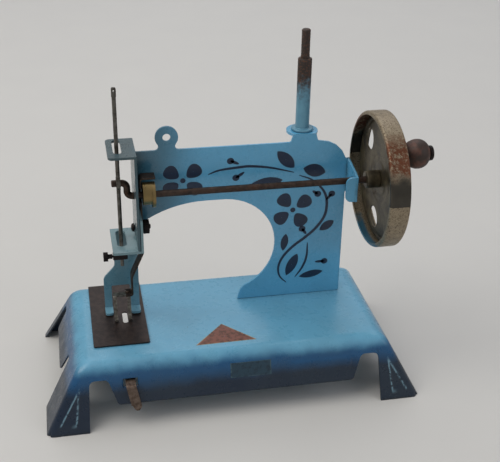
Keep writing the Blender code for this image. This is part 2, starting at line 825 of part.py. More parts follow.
def build_spool_pin(look):
    """The turned pin, with its seat, its riveted tail and the thinner threaded end."""
    seat = COLLAR_TOP + GAP
    under = COLLAR_TOP - ARM_SHEET - GAP
    shoulder = seat + 0.0012 + PIN_LENGTH
    tip = shoulder + THREAD_LENGTH
    profile = [
        (0.0, tip), (THREAD_RADIUS - 0.0005, tip), (THREAD_RADIUS, tip - 0.0006),
        (THREAD_RADIUS, shoulder), (PIN_RADIUS - 0.0004, shoulder), (PIN_RADIUS, shoulder - 0.0005),
        (PIN_RADIUS, seat + 0.0012), (0.0056, seat + 0.0012), (0.0060, seat + 0.0006),
        (0.0060, seat), (0.0025, seat), (0.0025, under), (0.0040, under),
        (0.0037, under - 0.0012), (0.0, under - 0.0012),
    ]
    turned("spool_pin", profile, "Z", (PIN_X, PIN_Y), look["pin"])


# ---------------------------------------------------------------- shaft and needle bar
def build_shaft(look):
    """The rod, bent at its left end into the crank that carries the needle bar."""
    right = WEB_X + 0.0022
    web = NEEDLE_X + BAR_RADIUS + 0.0005 + BEND_RADIUS
    start = web + BEND_RADIUS
    lower = arc(start, SHAFT_Z + BEND_RADIUS, BEND_RADIUS, 270, 180, 6)
    upper = arc(web - BEND_RADIUS, CRANK_PIN_Z - BEND_RADIUS, BEND_RADIUS, 0, 90, 6)
    flat = [(right, SHAFT_Z)] + lower + upper + [(NEEDLE_X - CRANK_REACH, CRANK_PIN_Z)]
    return tube("main_shaft", [(x, 0.0, z) for x, z in flat], SHAFT_RADIUS, look["rod"])


def build_cam(look):
    """The brass feed cam: an eccentric drum with a round flange on its right."""
    bore = SHAFT_RADIUS + GAP
    flange_left = CAM_LEFT + CAM_LENGTH - 0.0016
    cam = rod(
        "feed_cam", CAM_RADIUS, "X", CAM_LEFT, CAM_LEFT + CAM_LENGTH - 0.0004,
        (0.0, SHAFT_Z + CAM_THROW), look["brass"], 40,
    )
    flange = rod(
        "cam_flange", CAM_RADIUS + CAM_THROW, "X", flange_left, CAM_LEFT + CAM_LENGTH,
        (0.0, SHAFT_Z), sides=40,
    )
    join(cam, flange)
    cut(cam, rod("cam_bore", bore, "X", CAM_LEFT - 0.003, CAM_LEFT + 0.012, (0.0, SHAFT_Z)))
    return cam


def build_needle_bar(look):
    """The bar, with the eye that rides on the crank pin and the flattened thread eye on top."""
    pin_bore = SHAFT_RADIUS + TURN_GAP
    bar = rod("needle_bar", BAR_RADIUS, "Z", CLAMP_Z + 0.0003, BAR_TOP - 0.002, (NEEDLE_X, 0.0),
              look["bar"], 24)
    eye = rod(
        "pin_eye", pin_bore + 0.0013, "X", NEEDLE_X - BAR_RADIUS, NEEDLE_X + BAR_RADIUS,
        (0.0, CRANK_PIN_Z),
    )
    tip = sheet(
        "thread_eye",
        [
            rounded(
                [
                    (NEEDLE_X - 0.0012, BAR_TOP - 0.0048, 0.0003),
                    (NEEDLE_X + 0.0012, BAR_TOP - 0.0048, 0.0003),
                    (NEEDLE_X + 0.0012, BAR_TOP, 0.0009),
                    (NEEDLE_X - 0.0012, BAR_TOP, 0.0009),
                ]
            )
        ],
        0.0012,
        "Y",
        -0.0006,
    )
    join(bar, eye, tip)
    cut(
        bar,
        rod("pin_eye_bore", pin_bore, "X", NEEDLE_X - 0.003, NEEDLE_X + 0.003, (0.0, CRANK_PIN_Z)),
        rod("thread_hole", 0.0005, "Y", -0.003, 0.003, (NEEDLE_X, BAR_TOP - 0.0018), sides=16),
    )
    return bar


def build_needle_clamp(look):
    """The clamp block, its knurled thumb screw and the shank left in it."""
    low = CLAMP_Z - CLAMP_HEIGHT / 2
    high = CLAMP_Z + CLAMP_HEIGHT / 2
    block_left = NEEDLE_X - 0.0048
    clamp = sheet(
        "needle_clamp",
        [
            rounded(
                [
                    (block_left, -CLAMP_DEPTH / 2, 0.0006),
                    (NEEDLE_X + 0.0030, -CLAMP_DEPTH / 2, 0.0012),
                    (NEEDLE_X + 0.0030, CLAMP_DEPTH / 2, 0.0012),
                    (block_left, CLAMP_DEPTH / 2, 0.0006),
                ]
            ),
            circle(NEEDLE_X, 0.0, BAR_RADIUS + GAP, 24),
        ],
        high - low,
        "Z",
        low,
        look["black"],
    )
    screw_radius = 0.0007
    screw_end = NEEDLE_X - BAR_RADIUS - GAP
    cut(
        clamp,
        rod("screw_hole", screw_radius + GAP, "X", block_left - 0.002, NEEDLE_X, (0.0, CLAMP_Z),
            sides=20),
    )
    head_right = block_left - 0.0026
    screw = sheet(
        "clamp_screw",
        [knurled(0.0, CLAMP_Z, 0.0025, 0.0003, 18)],
        0.0024,
        "X",
        head_right - 0.0024,
        look["black"],
    )
    join(
        screw,
        rod("screw_neck", 0.0013, "X", head_right - 0.0004, block_left - GAP, (0.0, CLAMP_Z), sides=20),
        rod("screw_shank", screw_radius, "X", head_right - 0.0006, screw_end, (0.0, CLAMP_Z), sides=20),
    )
    shank = rod(
        "needle_shank", BAR_RADIUS - 0.0001, "Z", CLAMP_Z - SHANK_LENGTH, CLAMP_Z, (NEEDLE_X, 0.0),
        look["spring"], 20,
    )
    return clamp, screw, shank


# ---------------------------------------------------------------- feed lever
def build_feed_lever(look):
    """The leaf that the cam rocks: finger over the cam, shaft notch, pivot hole, lower flange."""
    lever_y = PIVOT_Y - LEVER_WIDTH / 2
    foot_x = LEVER_X - 0.0065
    flange_z = FOOT_TOP_Z + GAP + LEVER_SHEET / 2
    path = rounded(
        [
            (CAM_LEFT + CAM_LENGTH + 0.0004, FINGER_Z, 0),
            (LEVER_X, FINGER_Z, 0.0012),
            (LEVER_X, LEVER_KNEE_HIGH, 0.006),
            (foot_x, LEVER_KNEE_LOW, 0.006),
            (foot_x, flange_z, 0.0012),
            (NEEDLE_X + 0.0010, flange_z, 0),
        ],
        closed=False,
    )
    lever = strip("feed_lever", path, LEVER_WIDTH, LEVER_SHEET, "Y", lever_y, look["spring"])
    swing_room = 0.0021
    cut(
        lever,
        rod("shaft_notch", SHAFT_RADIUS + swing_room, "X", LEVER_X - 0.002, LEVER_X + 0.002,
            (0.0, SHAFT_Z)),
        rod("lever_hole", PIVOT_RADIUS + GAP, "X", LEVER_X - 0.002, LEVER_X + 0.002,
            (PIVOT_Y, PIVOT_Z), sides=24),
        rod("lever_rivet_hole", 0.0010 + GAP, "Z", flange_z - 0.002, flange_z + 0.002,
            rivet_of_foot(), sides=20),
    )
    return lever


def rivet_of_foot():
    """Where the feed foot is riveted to the lever."""
    return (NEEDLE_X + 0.0024, PIVOT_Y + 0.0005)


def build_feed_foot(look):
    """The forked foot: a cross-bar under the lever's flange and two prongs down to the cloth."""
    middle = FOOT_TOP_Z - FOOT_SHEET / 2
    left = NEEDLE_X - 0.0058
    right = NEEDLE_X + 0.0036
    bar_front = PIVOT_Y - 0.0012
    bar_back = PIVOT_Y + 0.0028
    foot = sheet(
        "feed_foot",
        [
            rounded(
                [
                    (left, bar_front, 0),
                    (right, bar_front, 0),
                    (right, bar_back, 0.0006),
                    (left, bar_back, 0.0006),
                ]
            )
        ],
        FOOT_SHEET,
        "Z",
        FOOT_TOP_Z - FOOT_SHEET,
        look["bar"],
    )
    sole = PLATE_TOP + 0.0014
    path = rounded(
        [
            (bar_front + 0.0006, middle, 0),
            (bar_front - 0.0004, middle, 0.0004),
            (bar_front - 0.0018, sole, 0.001),
            (bar_front - 0.0062, sole, 0),
        ],
        closed=False,
    )
    join(
        foot,
        strip("prong_left", path, PRONG_WIDTH, FOOT_SHEET, "X", left),
        strip("prong_right", path, PRONG_WIDTH, FOOT_SHEET, "X", right - PRONG_WIDTH),
    )
    cut(foot, rod("foot_rivet_hole", 0.0010 + GAP, "Z", middle - 0.002, middle + 0.002,
                  rivet_of_foot(), sides=20))
    high = FOOT_TOP_Z + 2 * GAP + LEVER_SHEET
    low = FOOT_TOP_Z - FOOT_SHEET - GAP
    profile = [
        (0.0, high + 0.0006), (0.0011, high + 0.0005), (0.0016, high), (0.0010, high),
        (0.0010, low), (0.0016, low), (0.0012, low - 0.0005), (0.0, low - 0.0005),
    ]
    rivet = turned("foot_rivet", profile, "Z", rivet_of_foot(), look["spring"], 20)
    return foot, rivet


def build_pivot(look):
    """The pivot screw through faceplate, bracket and lever, and its knurled nut."""
    head = FACE_LEFT - GAP
    end = CAM_LEFT + 0.0038
    across = (PIVOT_Y, PIVOT_Z)
    screw = turned(
        "pivot_screw",
        [
            (0.0, end), (PIVOT_RADIUS - 0.0003, end), (PIVOT_RADIUS, end - 0.0003),
            (PIVOT_RADIUS, head), (0.0024, head), (0.0021, head - 0.0011),
            (0.0010, head - 0.0016), (0.0, head - 0.0016),
        ],
        "X",
        across,
        look["black"],
        24,
    )
    nut_left = LEVER_X + LEVER_SHEET / 2 + GAP
    nut = sheet(
        "pivot_nut",
        [
            knurled(PIVOT_Y, PIVOT_Z, 0.0039, 0.0004, 20),
            circle(PIVOT_Y, PIVOT_Z, PIVOT_RADIUS + GAP, 24),
        ],
        0.0032,
        "X",
        nut_left,
        look["black"],
    )
    return screw, nut


# ---------------------------------------------------------------- hand wheel
def window_outline(middle):
    """A bean-shaped opening: an oval whose long axis is bent round the wheel's centre."""
    points = []
    for i in range(28):
        turn = 2 * math.pi * i / 28
        radius = WINDOW_CIRCLE + WINDOW_RADIAL / 2 * math.sin(turn)
        angle = math.radians(middle + WINDOW_HALF_ANGLE * math.cos(turn))
        points.append((radius * math.cos(angle), SHAFT_Z + radius * math.sin(angle)))
    return points


def build_wheel(look):
    """Rim band, pressed web with three kidney holes, and the turned hub."""
    rim_right = WHEEL_LEFT + RIM_WIDTH
    inner = WHEEL_RADIUS - RIM_SHEET
    profile = [
        (inner, rim_right), (WHEEL_RADIUS - 0.0004, rim_right), (WHEEL_RADIUS, rim_right - 0.0008),
        (WHEEL_RADIUS, WHEEL_LEFT + 0.0010), (WHEEL_RADIUS - 0.0003, WHEEL_LEFT + 0.0003),
        (WHEEL_RADIUS - 0.0010, WHEEL_LEFT), (inner - RIM_LIP, WHEEL_LEFT),
        (inner - RIM_LIP, WHEEL_LEFT + RIM_SHEET), (inner, WHEEL_LEFT + RIM_SHEET + 0.0006),
    ]
    across = (0.0, SHAFT_Z)
    rim = turned("wheel_rim", profile, "X", across, look["nickel"], 72)

    flange_right = rim_right - 0.0012
    web_right = WEB_X + WEB_SHEET
    web_profile = [
        (WEB_RADIUS - WEB_SHEET, flange_right), (WEB_RADIUS, flange_right), (WEB_RADIUS, WEB_X + 0.0006),
        (WEB_RADIUS - 0.0006, WEB_X), (HUB_RADIUS - 0.0013, WEB_X), (HUB_RADIUS - 0.0013, web_right),
        (WEB_RADIUS - WEB_SHEET, web_right),
    ]
    web = turned("wheel_web", web_profile, "X", across, look["web"], 72)
    for i, middle in enumerate(WINDOW_ANGLES):
        cut(web, sheet(f"window_{i}", [window_outline(middle)], 0.006, "X", WEB_X - 0.003))
    stem_hole = rod("stem_hole", STEM_RADIUS + GAP, "X", WEB_X - 0.003, WEB_X + 0.004,
                    (KNOB_Y, KNOB_Z), sides=24)
    cut(web, stem_hole)

    bore = SHAFT_RADIUS + GAP
    hub_left = WHEEL_LEFT - 0.0018
    hub_profile = [
        (bore, web_right + 0.0014), (HUB_RADIUS - 0.0006, web_right + 0.0014),
        (HUB_RADIUS - 0.0004, web_right + GAP), (HUB_RADIUS - 0.0017, web_right + GAP),
        (HUB_RADIUS - 0.0017, WEB_X - GAP), (HUB_RADIUS, WEB_X - GAP), (HUB_RADIUS, hub_left + 0.0006),
        (HUB_RADIUS - 0.0006, hub_left), (bore, hub_left),
    ]
    hub = turned("wheel_hub", hub_profile, "X", across, look["web"], 40)
    return rim, web, hub


def build_knob(look):
    """The riveted stem on the web, and the turned wooden knob that spins on it."""
    across = (KNOB_Y, KNOB_Z)
    web_right = WEB_X + WEB_SHEET
    tip = CAP_LEFT + CAP_THICKNESS
    stem = turned(
        "knob_stem",
        [
            (0.0, tip), (CAP_RADIUS - 0.0006, tip), (CAP_RADIUS, tip - 0.0005), (CAP_RADIUS, CAP_LEFT),
            (STEM_RADIUS, CAP_LEFT), (STEM_RADIUS, KNOB_LEFT - GAP), (0.0030, KNOB_LEFT - GAP),
            (0.0030, web_right + GAP), (STEM_RADIUS, web_right + GAP), (STEM_RADIUS, WEB_X - GAP),
            (0.0028, WEB_X - GAP), (0.0022, WEB_X - 0.0012), (0.0, WEB_X - 0.0012),
        ],
        "X",
        across,
        look["black"],
        32,
    )
    bore = STEM_RADIUS + TURN_GAP
    shape = ((1.0, 0.52), (0.97, 0.62), (0.86, 0.80), (0.70, 0.95), (0.52, 1.0), (0.32, 0.98),
             (0.14, 0.90), (0.03, 0.82), (0.0, 0.74))
    outer = [(KNOB_RADIUS * wide, KNOB_LEFT + KNOB_LENGTH * along) for along, wide in shape]
    knob = turned(
        "knob",
        [(bore, KNOB_LEFT + KNOB_LENGTH)] + outer + [(bore, KNOB_LEFT)],
        "X",
        across,
        look["wood"],
        40,
    )
    return stem, knob


# ---------------------------------------------------------------- looper
def build_looper(look):
    """The steel strip under the base: pivot stud, lever with thumb tab, and looper hook."""
    half = LOOPER_WIDTH / 2
    shift = -0.0012
    back = 0.0085
    front = -(pan_half_depth(FRONT_SKIRT_CLEARANCE) + GAP + LOOPER_SHEET / 2 + 0.0003)
    left = NEEDLE_X + shift - half
    path = rounded(
        [(back, LOOPER_Z, 0), (front, LOOPER_Z, 0.0016), (front, THUMB_BOTTOM, 0)],
        closed=False,
    )
    lever = strip("looper_lever", path, LOOPER_WIDTH, LOOPER_SHEET, "X", left, look["thumb"])
    lean = math.atan2(THUMB_LEAN, LOOPER_Z - THUMB_BOTTOM)
    mesh = lever.data
    for vert in mesh.vertices:
        drop = max(0.0, LOOPER_Z - vert.co.z)
        vert.co.x += math.tan(lean) * drop
    trim = sheet(
        "thumb_trim",
        [
            rounded(
                [
                    (left + THUMB_LEAN - 0.006, THUMB_BOTTOM - 0.004, 0),
                    (left + THUMB_LEAN + 0.012, THUMB_BOTTOM - 0.004, 0),
                    (left + THUMB_LEAN + 0.012, THUMB_BOTTOM + 0.0035, 0),
                    (left + THUMB_LEAN + LOOPER_WIDTH - 0.0002, THUMB_BOTTOM + 0.0035, 0),
                    (left + THUMB_LEAN + LOOPER_WIDTH - 0.0016, THUMB_BOTTOM + 0.0002, 0.0014),
                    (left + THUMB_LEAN + 0.0014, THUMB_BOTTOM + 0.0002, 0.0014),
                    (left + THUMB_LEAN - 0.0002, THUMB_BOTTOM + 0.0035, 0),
                    (left + THUMB_LEAN - 0.006, THUMB_BOTTOM + 0.0035, 0),
                ]
            )
        ],
        0.006,
        "Y",
        front - 0.003,
    )
    pivot_x = NEEDLE_X + shift
    across = (pivot_x, LOOPER_PIVOT_Y)
    stud_radius = 0.0015
    cut(
        lever,
        trim,
        rod("looper_hole", stud_radius + TURN_GAP, "Z", LOOPER_Z - 0.003, LOOPER_Z + 0.003, across),
    )
    top = BASE_HEIGHT - BASE_SHEET - GAP
    above = LOOPER_Z + LOOPER_SHEET / 2 + GAP
    under = LOOPER_Z - LOOPER_SHEET / 2 - GAP
    stud = turned(
        "looper_stud",
        [
            (0.0, top), (0.0030, top), (0.0030, above), (stud_radius, above), (stud_radius, under),
            (0.0030, under), (0.0026, under - 0.0010), (0.0, under - 0.0010),
        ],
        "Z",
        across,
        look["thumb"],
        24,
    )
    wire = 0.0006
    root = LOOPER_Z + LOOPER_SHEET / 2 + GAP + wire
    stand = NEEDLE_X - 0.0022
    bend = 0.0025
    tip = 0.003 + bend
    hook_path = [(stand, y, root) for y in (-0.006, -0.003, 0.0, 0.003)]
    for i in range(1, 6):
        turn = math.pi / 2 * i / 5
        hook_path.append((stand, tip - bend + bend * math.sin(turn), root + bend * (1 - math.cos(turn))))
    for i in range(1, 7):
        share = i / 6
        rise = bend + 0.0022 * math.sin(1.5 * share)
        hook_path.append((stand + 0.0018 * share, tip * (1 - share**1.5), root + rise))
    hook = tube("looper_hook", hook_path, wire, look["bar"], 4)
    return lever, stud, hook


# ---------------------------------------------------------------- assembly
def axis_empty(name, place, members):
    """An empty on a joint's axis, with the pieces that move about it as its children."""
    empty = bpy.data.objects.new(name, None)
    empty.empty_display_size = 0.01
    empty.location = place
    collection(PARTS_NAME).objects.link(empty)
    bpy.context.view_layer.update()
    for member in members:
        member.parent = empty
        member.matrix_parent_inverse = empty.matrix_world.inverted()
    return empty


def main():
    """Build every piece, hang the moving ones on their axes, and centre the whole."""
    clear_scene()
    look = finishes()
    build_base(look)
    build_needle_plate(look)
    build_arm(look)
    build_arm_rivets(look)
    build_presser_bracket(look)
    build_spool_pin(look)
    shaft = build_shaft(look)
    cam = build_cam(look)
    bar = build_needle_bar(look)
    clamp, clamp_screw, shank = build_needle_clamp(look)
    lever = build_feed_lever(look)
    foot, foot_rivet = build_feed_foot(look)
    _, nut = build_pivot(look)
    rim, web, hub = build_wheel(look)
    stem, knob = build_knob(look)
    looper, _, hook = build_looper(look)

    knob_axis = axis_empty("knob_axis", (KNOB_LEFT, KNOB_Y, KNOB_Z), [knob])
    screw_axis = axis_empty("clamp_screw_axis", (NEEDLE_X, 0.0, CLAMP_Z), [clamp_screw])
    pin_axis = axis_empty(
        "crank_pin_axis", (NEEDLE_X, 0.0, CRANK_PIN_Z), [bar, clamp, shank, screw_axis]
    )
    axis_empty(
        "shaft_axis", (0.0, 0.0, SHAFT_Z), [shaft, cam, rim, web, hub, stem, knob_axis, pin_axis]
    )
    axis_empty("feed_pivot_axis", (LEVER_X, PIVOT_Y, PIVOT_Z), [lever, foot, foot_rivet])
    axis_empty("pivot_nut_axis", (LEVER_X, PIVOT_Y, PIVOT_Z), [nut])
    axis_empty("looper_axis", (NEEDLE_X - 0.0012, LOOPER_PIVOT_Y, LOOPER_Z), [looper, hook])

    top_level = [obj for obj in bpy.data.objects if obj.parent is None]
    root = axis_empty("machine_frame", (0.0, 0.0, 0.0), top_level)
    root.location.x = SHIFT_X
    bpy.context.view_layer.update()


main()
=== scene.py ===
"""Looks of a toy hand-crank sewing machine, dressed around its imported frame.

Frame: metres, +X to the right along the arm, +Y to the back, +Z up, floor at Z = 0.
Sheet pieces are the frame's own shapes with their cut edges rounded over. The pan, the
turned pieces, the bent shaft and the stencilled paint are surfaces worked out with numpy.
"""

import json
import logging
import math
from dataclasses import dataclass
from enum import Enum

import bmesh
import bpy
import numpy as np
from mathutils import Matrix, Vector

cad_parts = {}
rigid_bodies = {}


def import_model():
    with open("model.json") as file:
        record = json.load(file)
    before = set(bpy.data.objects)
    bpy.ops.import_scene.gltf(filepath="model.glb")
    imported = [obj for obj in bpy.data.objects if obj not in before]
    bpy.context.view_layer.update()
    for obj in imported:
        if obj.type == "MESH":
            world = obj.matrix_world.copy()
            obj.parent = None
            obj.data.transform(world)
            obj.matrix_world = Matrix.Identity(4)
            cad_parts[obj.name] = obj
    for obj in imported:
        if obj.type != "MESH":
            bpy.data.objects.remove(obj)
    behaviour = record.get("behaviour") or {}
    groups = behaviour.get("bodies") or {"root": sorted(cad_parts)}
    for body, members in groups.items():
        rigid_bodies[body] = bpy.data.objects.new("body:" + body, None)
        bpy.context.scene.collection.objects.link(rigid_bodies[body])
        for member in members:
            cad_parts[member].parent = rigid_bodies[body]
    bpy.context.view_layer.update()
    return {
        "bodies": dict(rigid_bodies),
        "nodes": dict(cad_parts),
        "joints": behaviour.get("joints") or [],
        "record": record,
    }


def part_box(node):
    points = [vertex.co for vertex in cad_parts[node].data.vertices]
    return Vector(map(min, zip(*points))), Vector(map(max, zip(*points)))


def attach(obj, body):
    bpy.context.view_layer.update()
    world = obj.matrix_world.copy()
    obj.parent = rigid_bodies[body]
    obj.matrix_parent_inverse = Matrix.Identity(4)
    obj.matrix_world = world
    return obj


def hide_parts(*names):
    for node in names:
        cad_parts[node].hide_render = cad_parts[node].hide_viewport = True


MM = 0.001
LOG = logging.getLogger("toy_sewing_machine")


# ---------------------------------------------------------------- colour and shader nodes
def linear(code: str) -> tuple:
    """Turn an sRGB hex colour into linear RGBA.

    Args:
        code: six hex digits.

    Returns:
        Four linear values, the last one 1.
    """
    channels = [int(code[i : i + 2], 16) / 255 for i in (0, 2, 4)]
    return (*[c / 12.92 if c <= 0.04045 else ((c + 0.055) / 1.055) ** 2.4 for c in channels], 1.0)


def add(tree: bpy.types.NodeTree, kind: str, inputs: dict | None = None, **settings):
    """Add one shader node.

    Args:
        tree: the node tree.
        kind: the node's type without its ShaderNode prefix.
        inputs: input name or index to a constant, or to a socket that feeds it.
        settings: attributes of the node.

    Returns:
        The new node.
    """
    node = tree.nodes.new("ShaderNode" + kind)
    for key, value in settings.items():
        setattr(node, key, value)
    for key, value in (inputs or {}).items():
        if isinstance(value, bpy.types.NodeSocket):
            tree.links.new(value, node.inputs[key])
        else:
            node.inputs[key].default_value = value
    return node


class Axis(Enum):
    """The direction that a graded colour runs along."""

    X = 0
    Y = 1
    Z = 2


@dataclass(frozen=True)
class Finish:
    """What every finish shares: its name and the shader's constant values."""

    name: str
    metallic: float = 0.0
    coat: float = 0.0
    coat_roughness: float = 0.1

    def make(self) -> bpy.types.Material:
        """Return the material, built once per name."""
        found = bpy.data.materials.get(self.name)
        if found is not None:
            return found
        material = bpy.data.materials.new(self.name)
        material.use_nodes = True
        tree = material.node_tree
        shader = tree.nodes["Principled BSDF"]
        shader.inputs["Metallic"].default_value = self.metallic
        shader.inputs["Coat Weight"].default_value = self.coat
        shader.inputs["Coat Roughness"].default_value = self.coat_roughness
        place = tree.nodes.new("ShaderNodeTexCoord").outputs["Object"]
        self.paint(tree, shader, place)
        return material

    def paint(self, tree: bpy.types.NodeTree, shader: bpy.types.Node, place) -> None:
        """Fill in colour, roughness and bump."""
        raise NotImplementedError


def noise(tree, place, size_mm: float, detail: float = 4.0, rough: float = 0.5, warp: float = 0.0):
    """A noise value whose blotches are about size_mm across."""
    inputs = {
        "Vector": place,
        "Scale": 1.0 / (size_mm * MM),
        "Detail": detail,
        "Roughness": rough,
        "Distortion": warp,
    }
    return add(tree, "TexNoise", inputs).outputs["Fac"]


def ramp(tree, value, low: float, high: float, out_low: float = 0.0, out_high: float = 1.0):
    """Map value from low..high to out_low..out_high with smooth ends."""
    inputs = {0: value, 1: low, 2: high, 3: out_low, 4: out_high}
    return add(tree, "MapRange", inputs, interpolation_type="SMOOTHSTEP").outputs[0]


def blend(tree, share, first, second):
    """Mix two colours, given as hex codes or sockets, by share."""
    colours = [linear(c) if isinstance(c, str) else c for c in (first, second)]
    inputs = {0: share, 6: colours[0], 7: colours[1]}
    return add(tree, "Mix", inputs, data_type="RGBA").outputs[2]


def sums(tree, operation: str, first, second):
    """One arithmetic step on two values."""
    return add(tree, "Math", {0: first, 1: second}, operation=operation).outputs[0]


def relief(tree, shader, height, depth_mm: float, strength: float = 0.6) -> None:
    """Feed a bump of the given depth into the shader's normal."""
    inputs = {"Height": height, "Distance": depth_mm * MM, "Strength": strength}
    tree.links.new(add(tree, "Bump", inputs).outputs["Normal"], shader.inputs["Normal"])


@dataclass(frozen=True)
class Enamel(Finish):
    """Stoved gloss enamel sprayed on pressed steel: even, glossy, chipped to rusty metal.

    The shade is airbrushed over the light coat where the graded axis runs below its low end. On the arm and
    the bracket this grading also holds painted shade and light, and past far along the axis the deep colour
    is painted shade.
    """

    light: str = "67A8C8"
    shade: str = "0A4E7C"
    deep: str = "031C33"
    # ridge colour: rubbed paint and a painted highlight along the pressed ridges
    ridge: str = "7FA6B8"
    # far: past this point along the axis the deep colour is painted shade
    far: float = 1.0
    axis: Axis = Axis.Z
    low: float = 0.019
    middle: float = 0.0285
    high: float = 0.0355
    feather_mm: float = 3.0
    chips: float = 0.5
    grime: float = 0.35

    def paint(self, tree, shader, place) -> None:
        """Grade the airbrushed colour with painted shade past far, then lay grime, specks and chips over it,
        and a ridge colour that is rubbed paint and painted highlight.
        """
        parts = add(tree, "SeparateXYZ", {0: place}).outputs
        cloud = noise(tree, place, 14, 3)
        drift = sums(tree, "MULTIPLY", sums(tree, "SUBTRACT", cloud, 0.5), self.feather_mm * MM * 2)
        level = sums(tree, "ADD", parts[self.axis.value], drift)
        upper = blend(tree, ramp(tree, level, self.middle, self.high), self.shade, self.light)
        paint = blend(tree, ramp(tree, level, self.low, self.middle), self.deep, upper)
        # painted shade: past far the paint turns to the deep colour, for a face that lies in shade
        painted_shade_share = ramp(tree, level, self.far, self.far + 0.004)
        paint = blend(tree, painted_shade_share, paint, self.deep)
        tone = ramp(tree, noise(tree, place, 30, 5, 0.6), 0.3, 0.75)
        dull = sums(tree, "MULTIPLY", tone, self.grime)
        paint = blend(tree, dull, paint, blend(tree, 0.55, paint, "3B4A4C"))
        dust = ramp(tree, noise(tree, place, 0.5, 2, 0.8), 0.66, 0.74)
        paint = blend(tree, sums(tree, "MULTIPLY", dust, 0.3), paint, "27343A")
        cells = add(tree, "TexVoronoi", {"Vector": place, "Scale": 1 / (5.5 * MM)}, feature="F1")
        reach = ramp(tree, noise(tree, place, 9, 2), 0.52, 0.72, 0.0, 0.085)
        fleck = sums(tree, "LESS_THAN", cells.outputs["Distance"], reach)
        paint = blend(tree, fleck, paint, "1A1512")
        edge = 0.80 - 0.09 * self.chips
        worn = noise(tree, place, 7, 9, 0.68, 0.4)
        bare = ramp(tree, worn, edge, edge + 0.012)
        rust = blend(tree, noise(tree, place, 1.2, 5, 0.7), "2A1A12", "7A5238")
        paint = blend(tree, bare, paint, rust)
        # paler colour on the ridges: partly rubbed paint, partly painted highlight
        ridge = add(tree, "Attribute", attribute_name="ridge").outputs["Fac"]
        rubbed = sums(tree, "MULTIPLY", ridge, ramp(tree, noise(tree, place, 2.5, 6, 0.7), 0.4, 0.52))
        paint = blend(tree, rubbed, paint, self.ridge)
        gloss = ramp(tree, noise(tree, place, 5, 6, 0.65), 0.25, 0.8, 0.22, 0.42)
        rough = sums(tree, "MAXIMUM", gloss, sums(tree, "MULTIPLY", bare, 0.75))
        tree.links.new(paint, shader.inputs["Base Color"])
        tree.links.new(rough, shader.inputs["Roughness"])
        peel = sums(tree, "MULTIPLY", noise(tree, place, 1.6, 3), 0.25)
        relief(tree, shader, sums(tree, "SUBTRACT", peel, bare), 0.09)


@dataclass(frozen=True)
class Metal(Finish):
    """Bare or plated steel gone brown with age: blotched, scratched, with rust in patches."""

    colour: str = "4A4640"
    dark: str = "2A2723"
    rust: str = "5A3A26"
    rusting: float = 0.4
    patch_mm: float = 4.0
    smooth: float = 0.32
    dull: float = 0.6

    def paint(self, tree, shader, place) -> None:
        """Blotch two tones of the metal, lay rust over them, and roughen both."""
        blotch = ramp(tree, noise(tree, place, self.patch_mm, 6, 0.62, 0.3), 0.32, 0.68)
        tone = blend(tree, blotch, self.dark, self.colour)
        edge = 0.74 - 0.34 * self.rusting
        rusty = ramp(tree, noise(tree, place, self.patch_mm * 1.3, 8, 0.7, 0.5), edge, edge + 0.14)
        grit = noise(tree, place, 0.45, 4, 0.75)
        rust = blend(tree, grit, self.rust, "1D130D")
        grain = add(tree, "Mapping", {"Vector": place, "Scale": (1.0, 9.0, 9.0)}).outputs[0]
        scratch = noise(tree, grain, 3.0, 4, 0.6)
        colour = blend(tree, rusty, tone, rust)
        rough = ramp(tree, scratch, 0.3, 0.75, self.smooth, self.dull)
        rough = sums(tree, "ADD", rough, sums(tree, "MULTIPLY", rusty, 0.2))
        tree.links.new(colour, shader.inputs["Base Color"])
        tree.links.new(rough, shader.inputs["Roughness"])
        height = sums(tree, "ADD", sums(tree, "MULTIPLY", grit, rusty), scratch)
        relief(tree, shader, height, 0.06, 0.5)


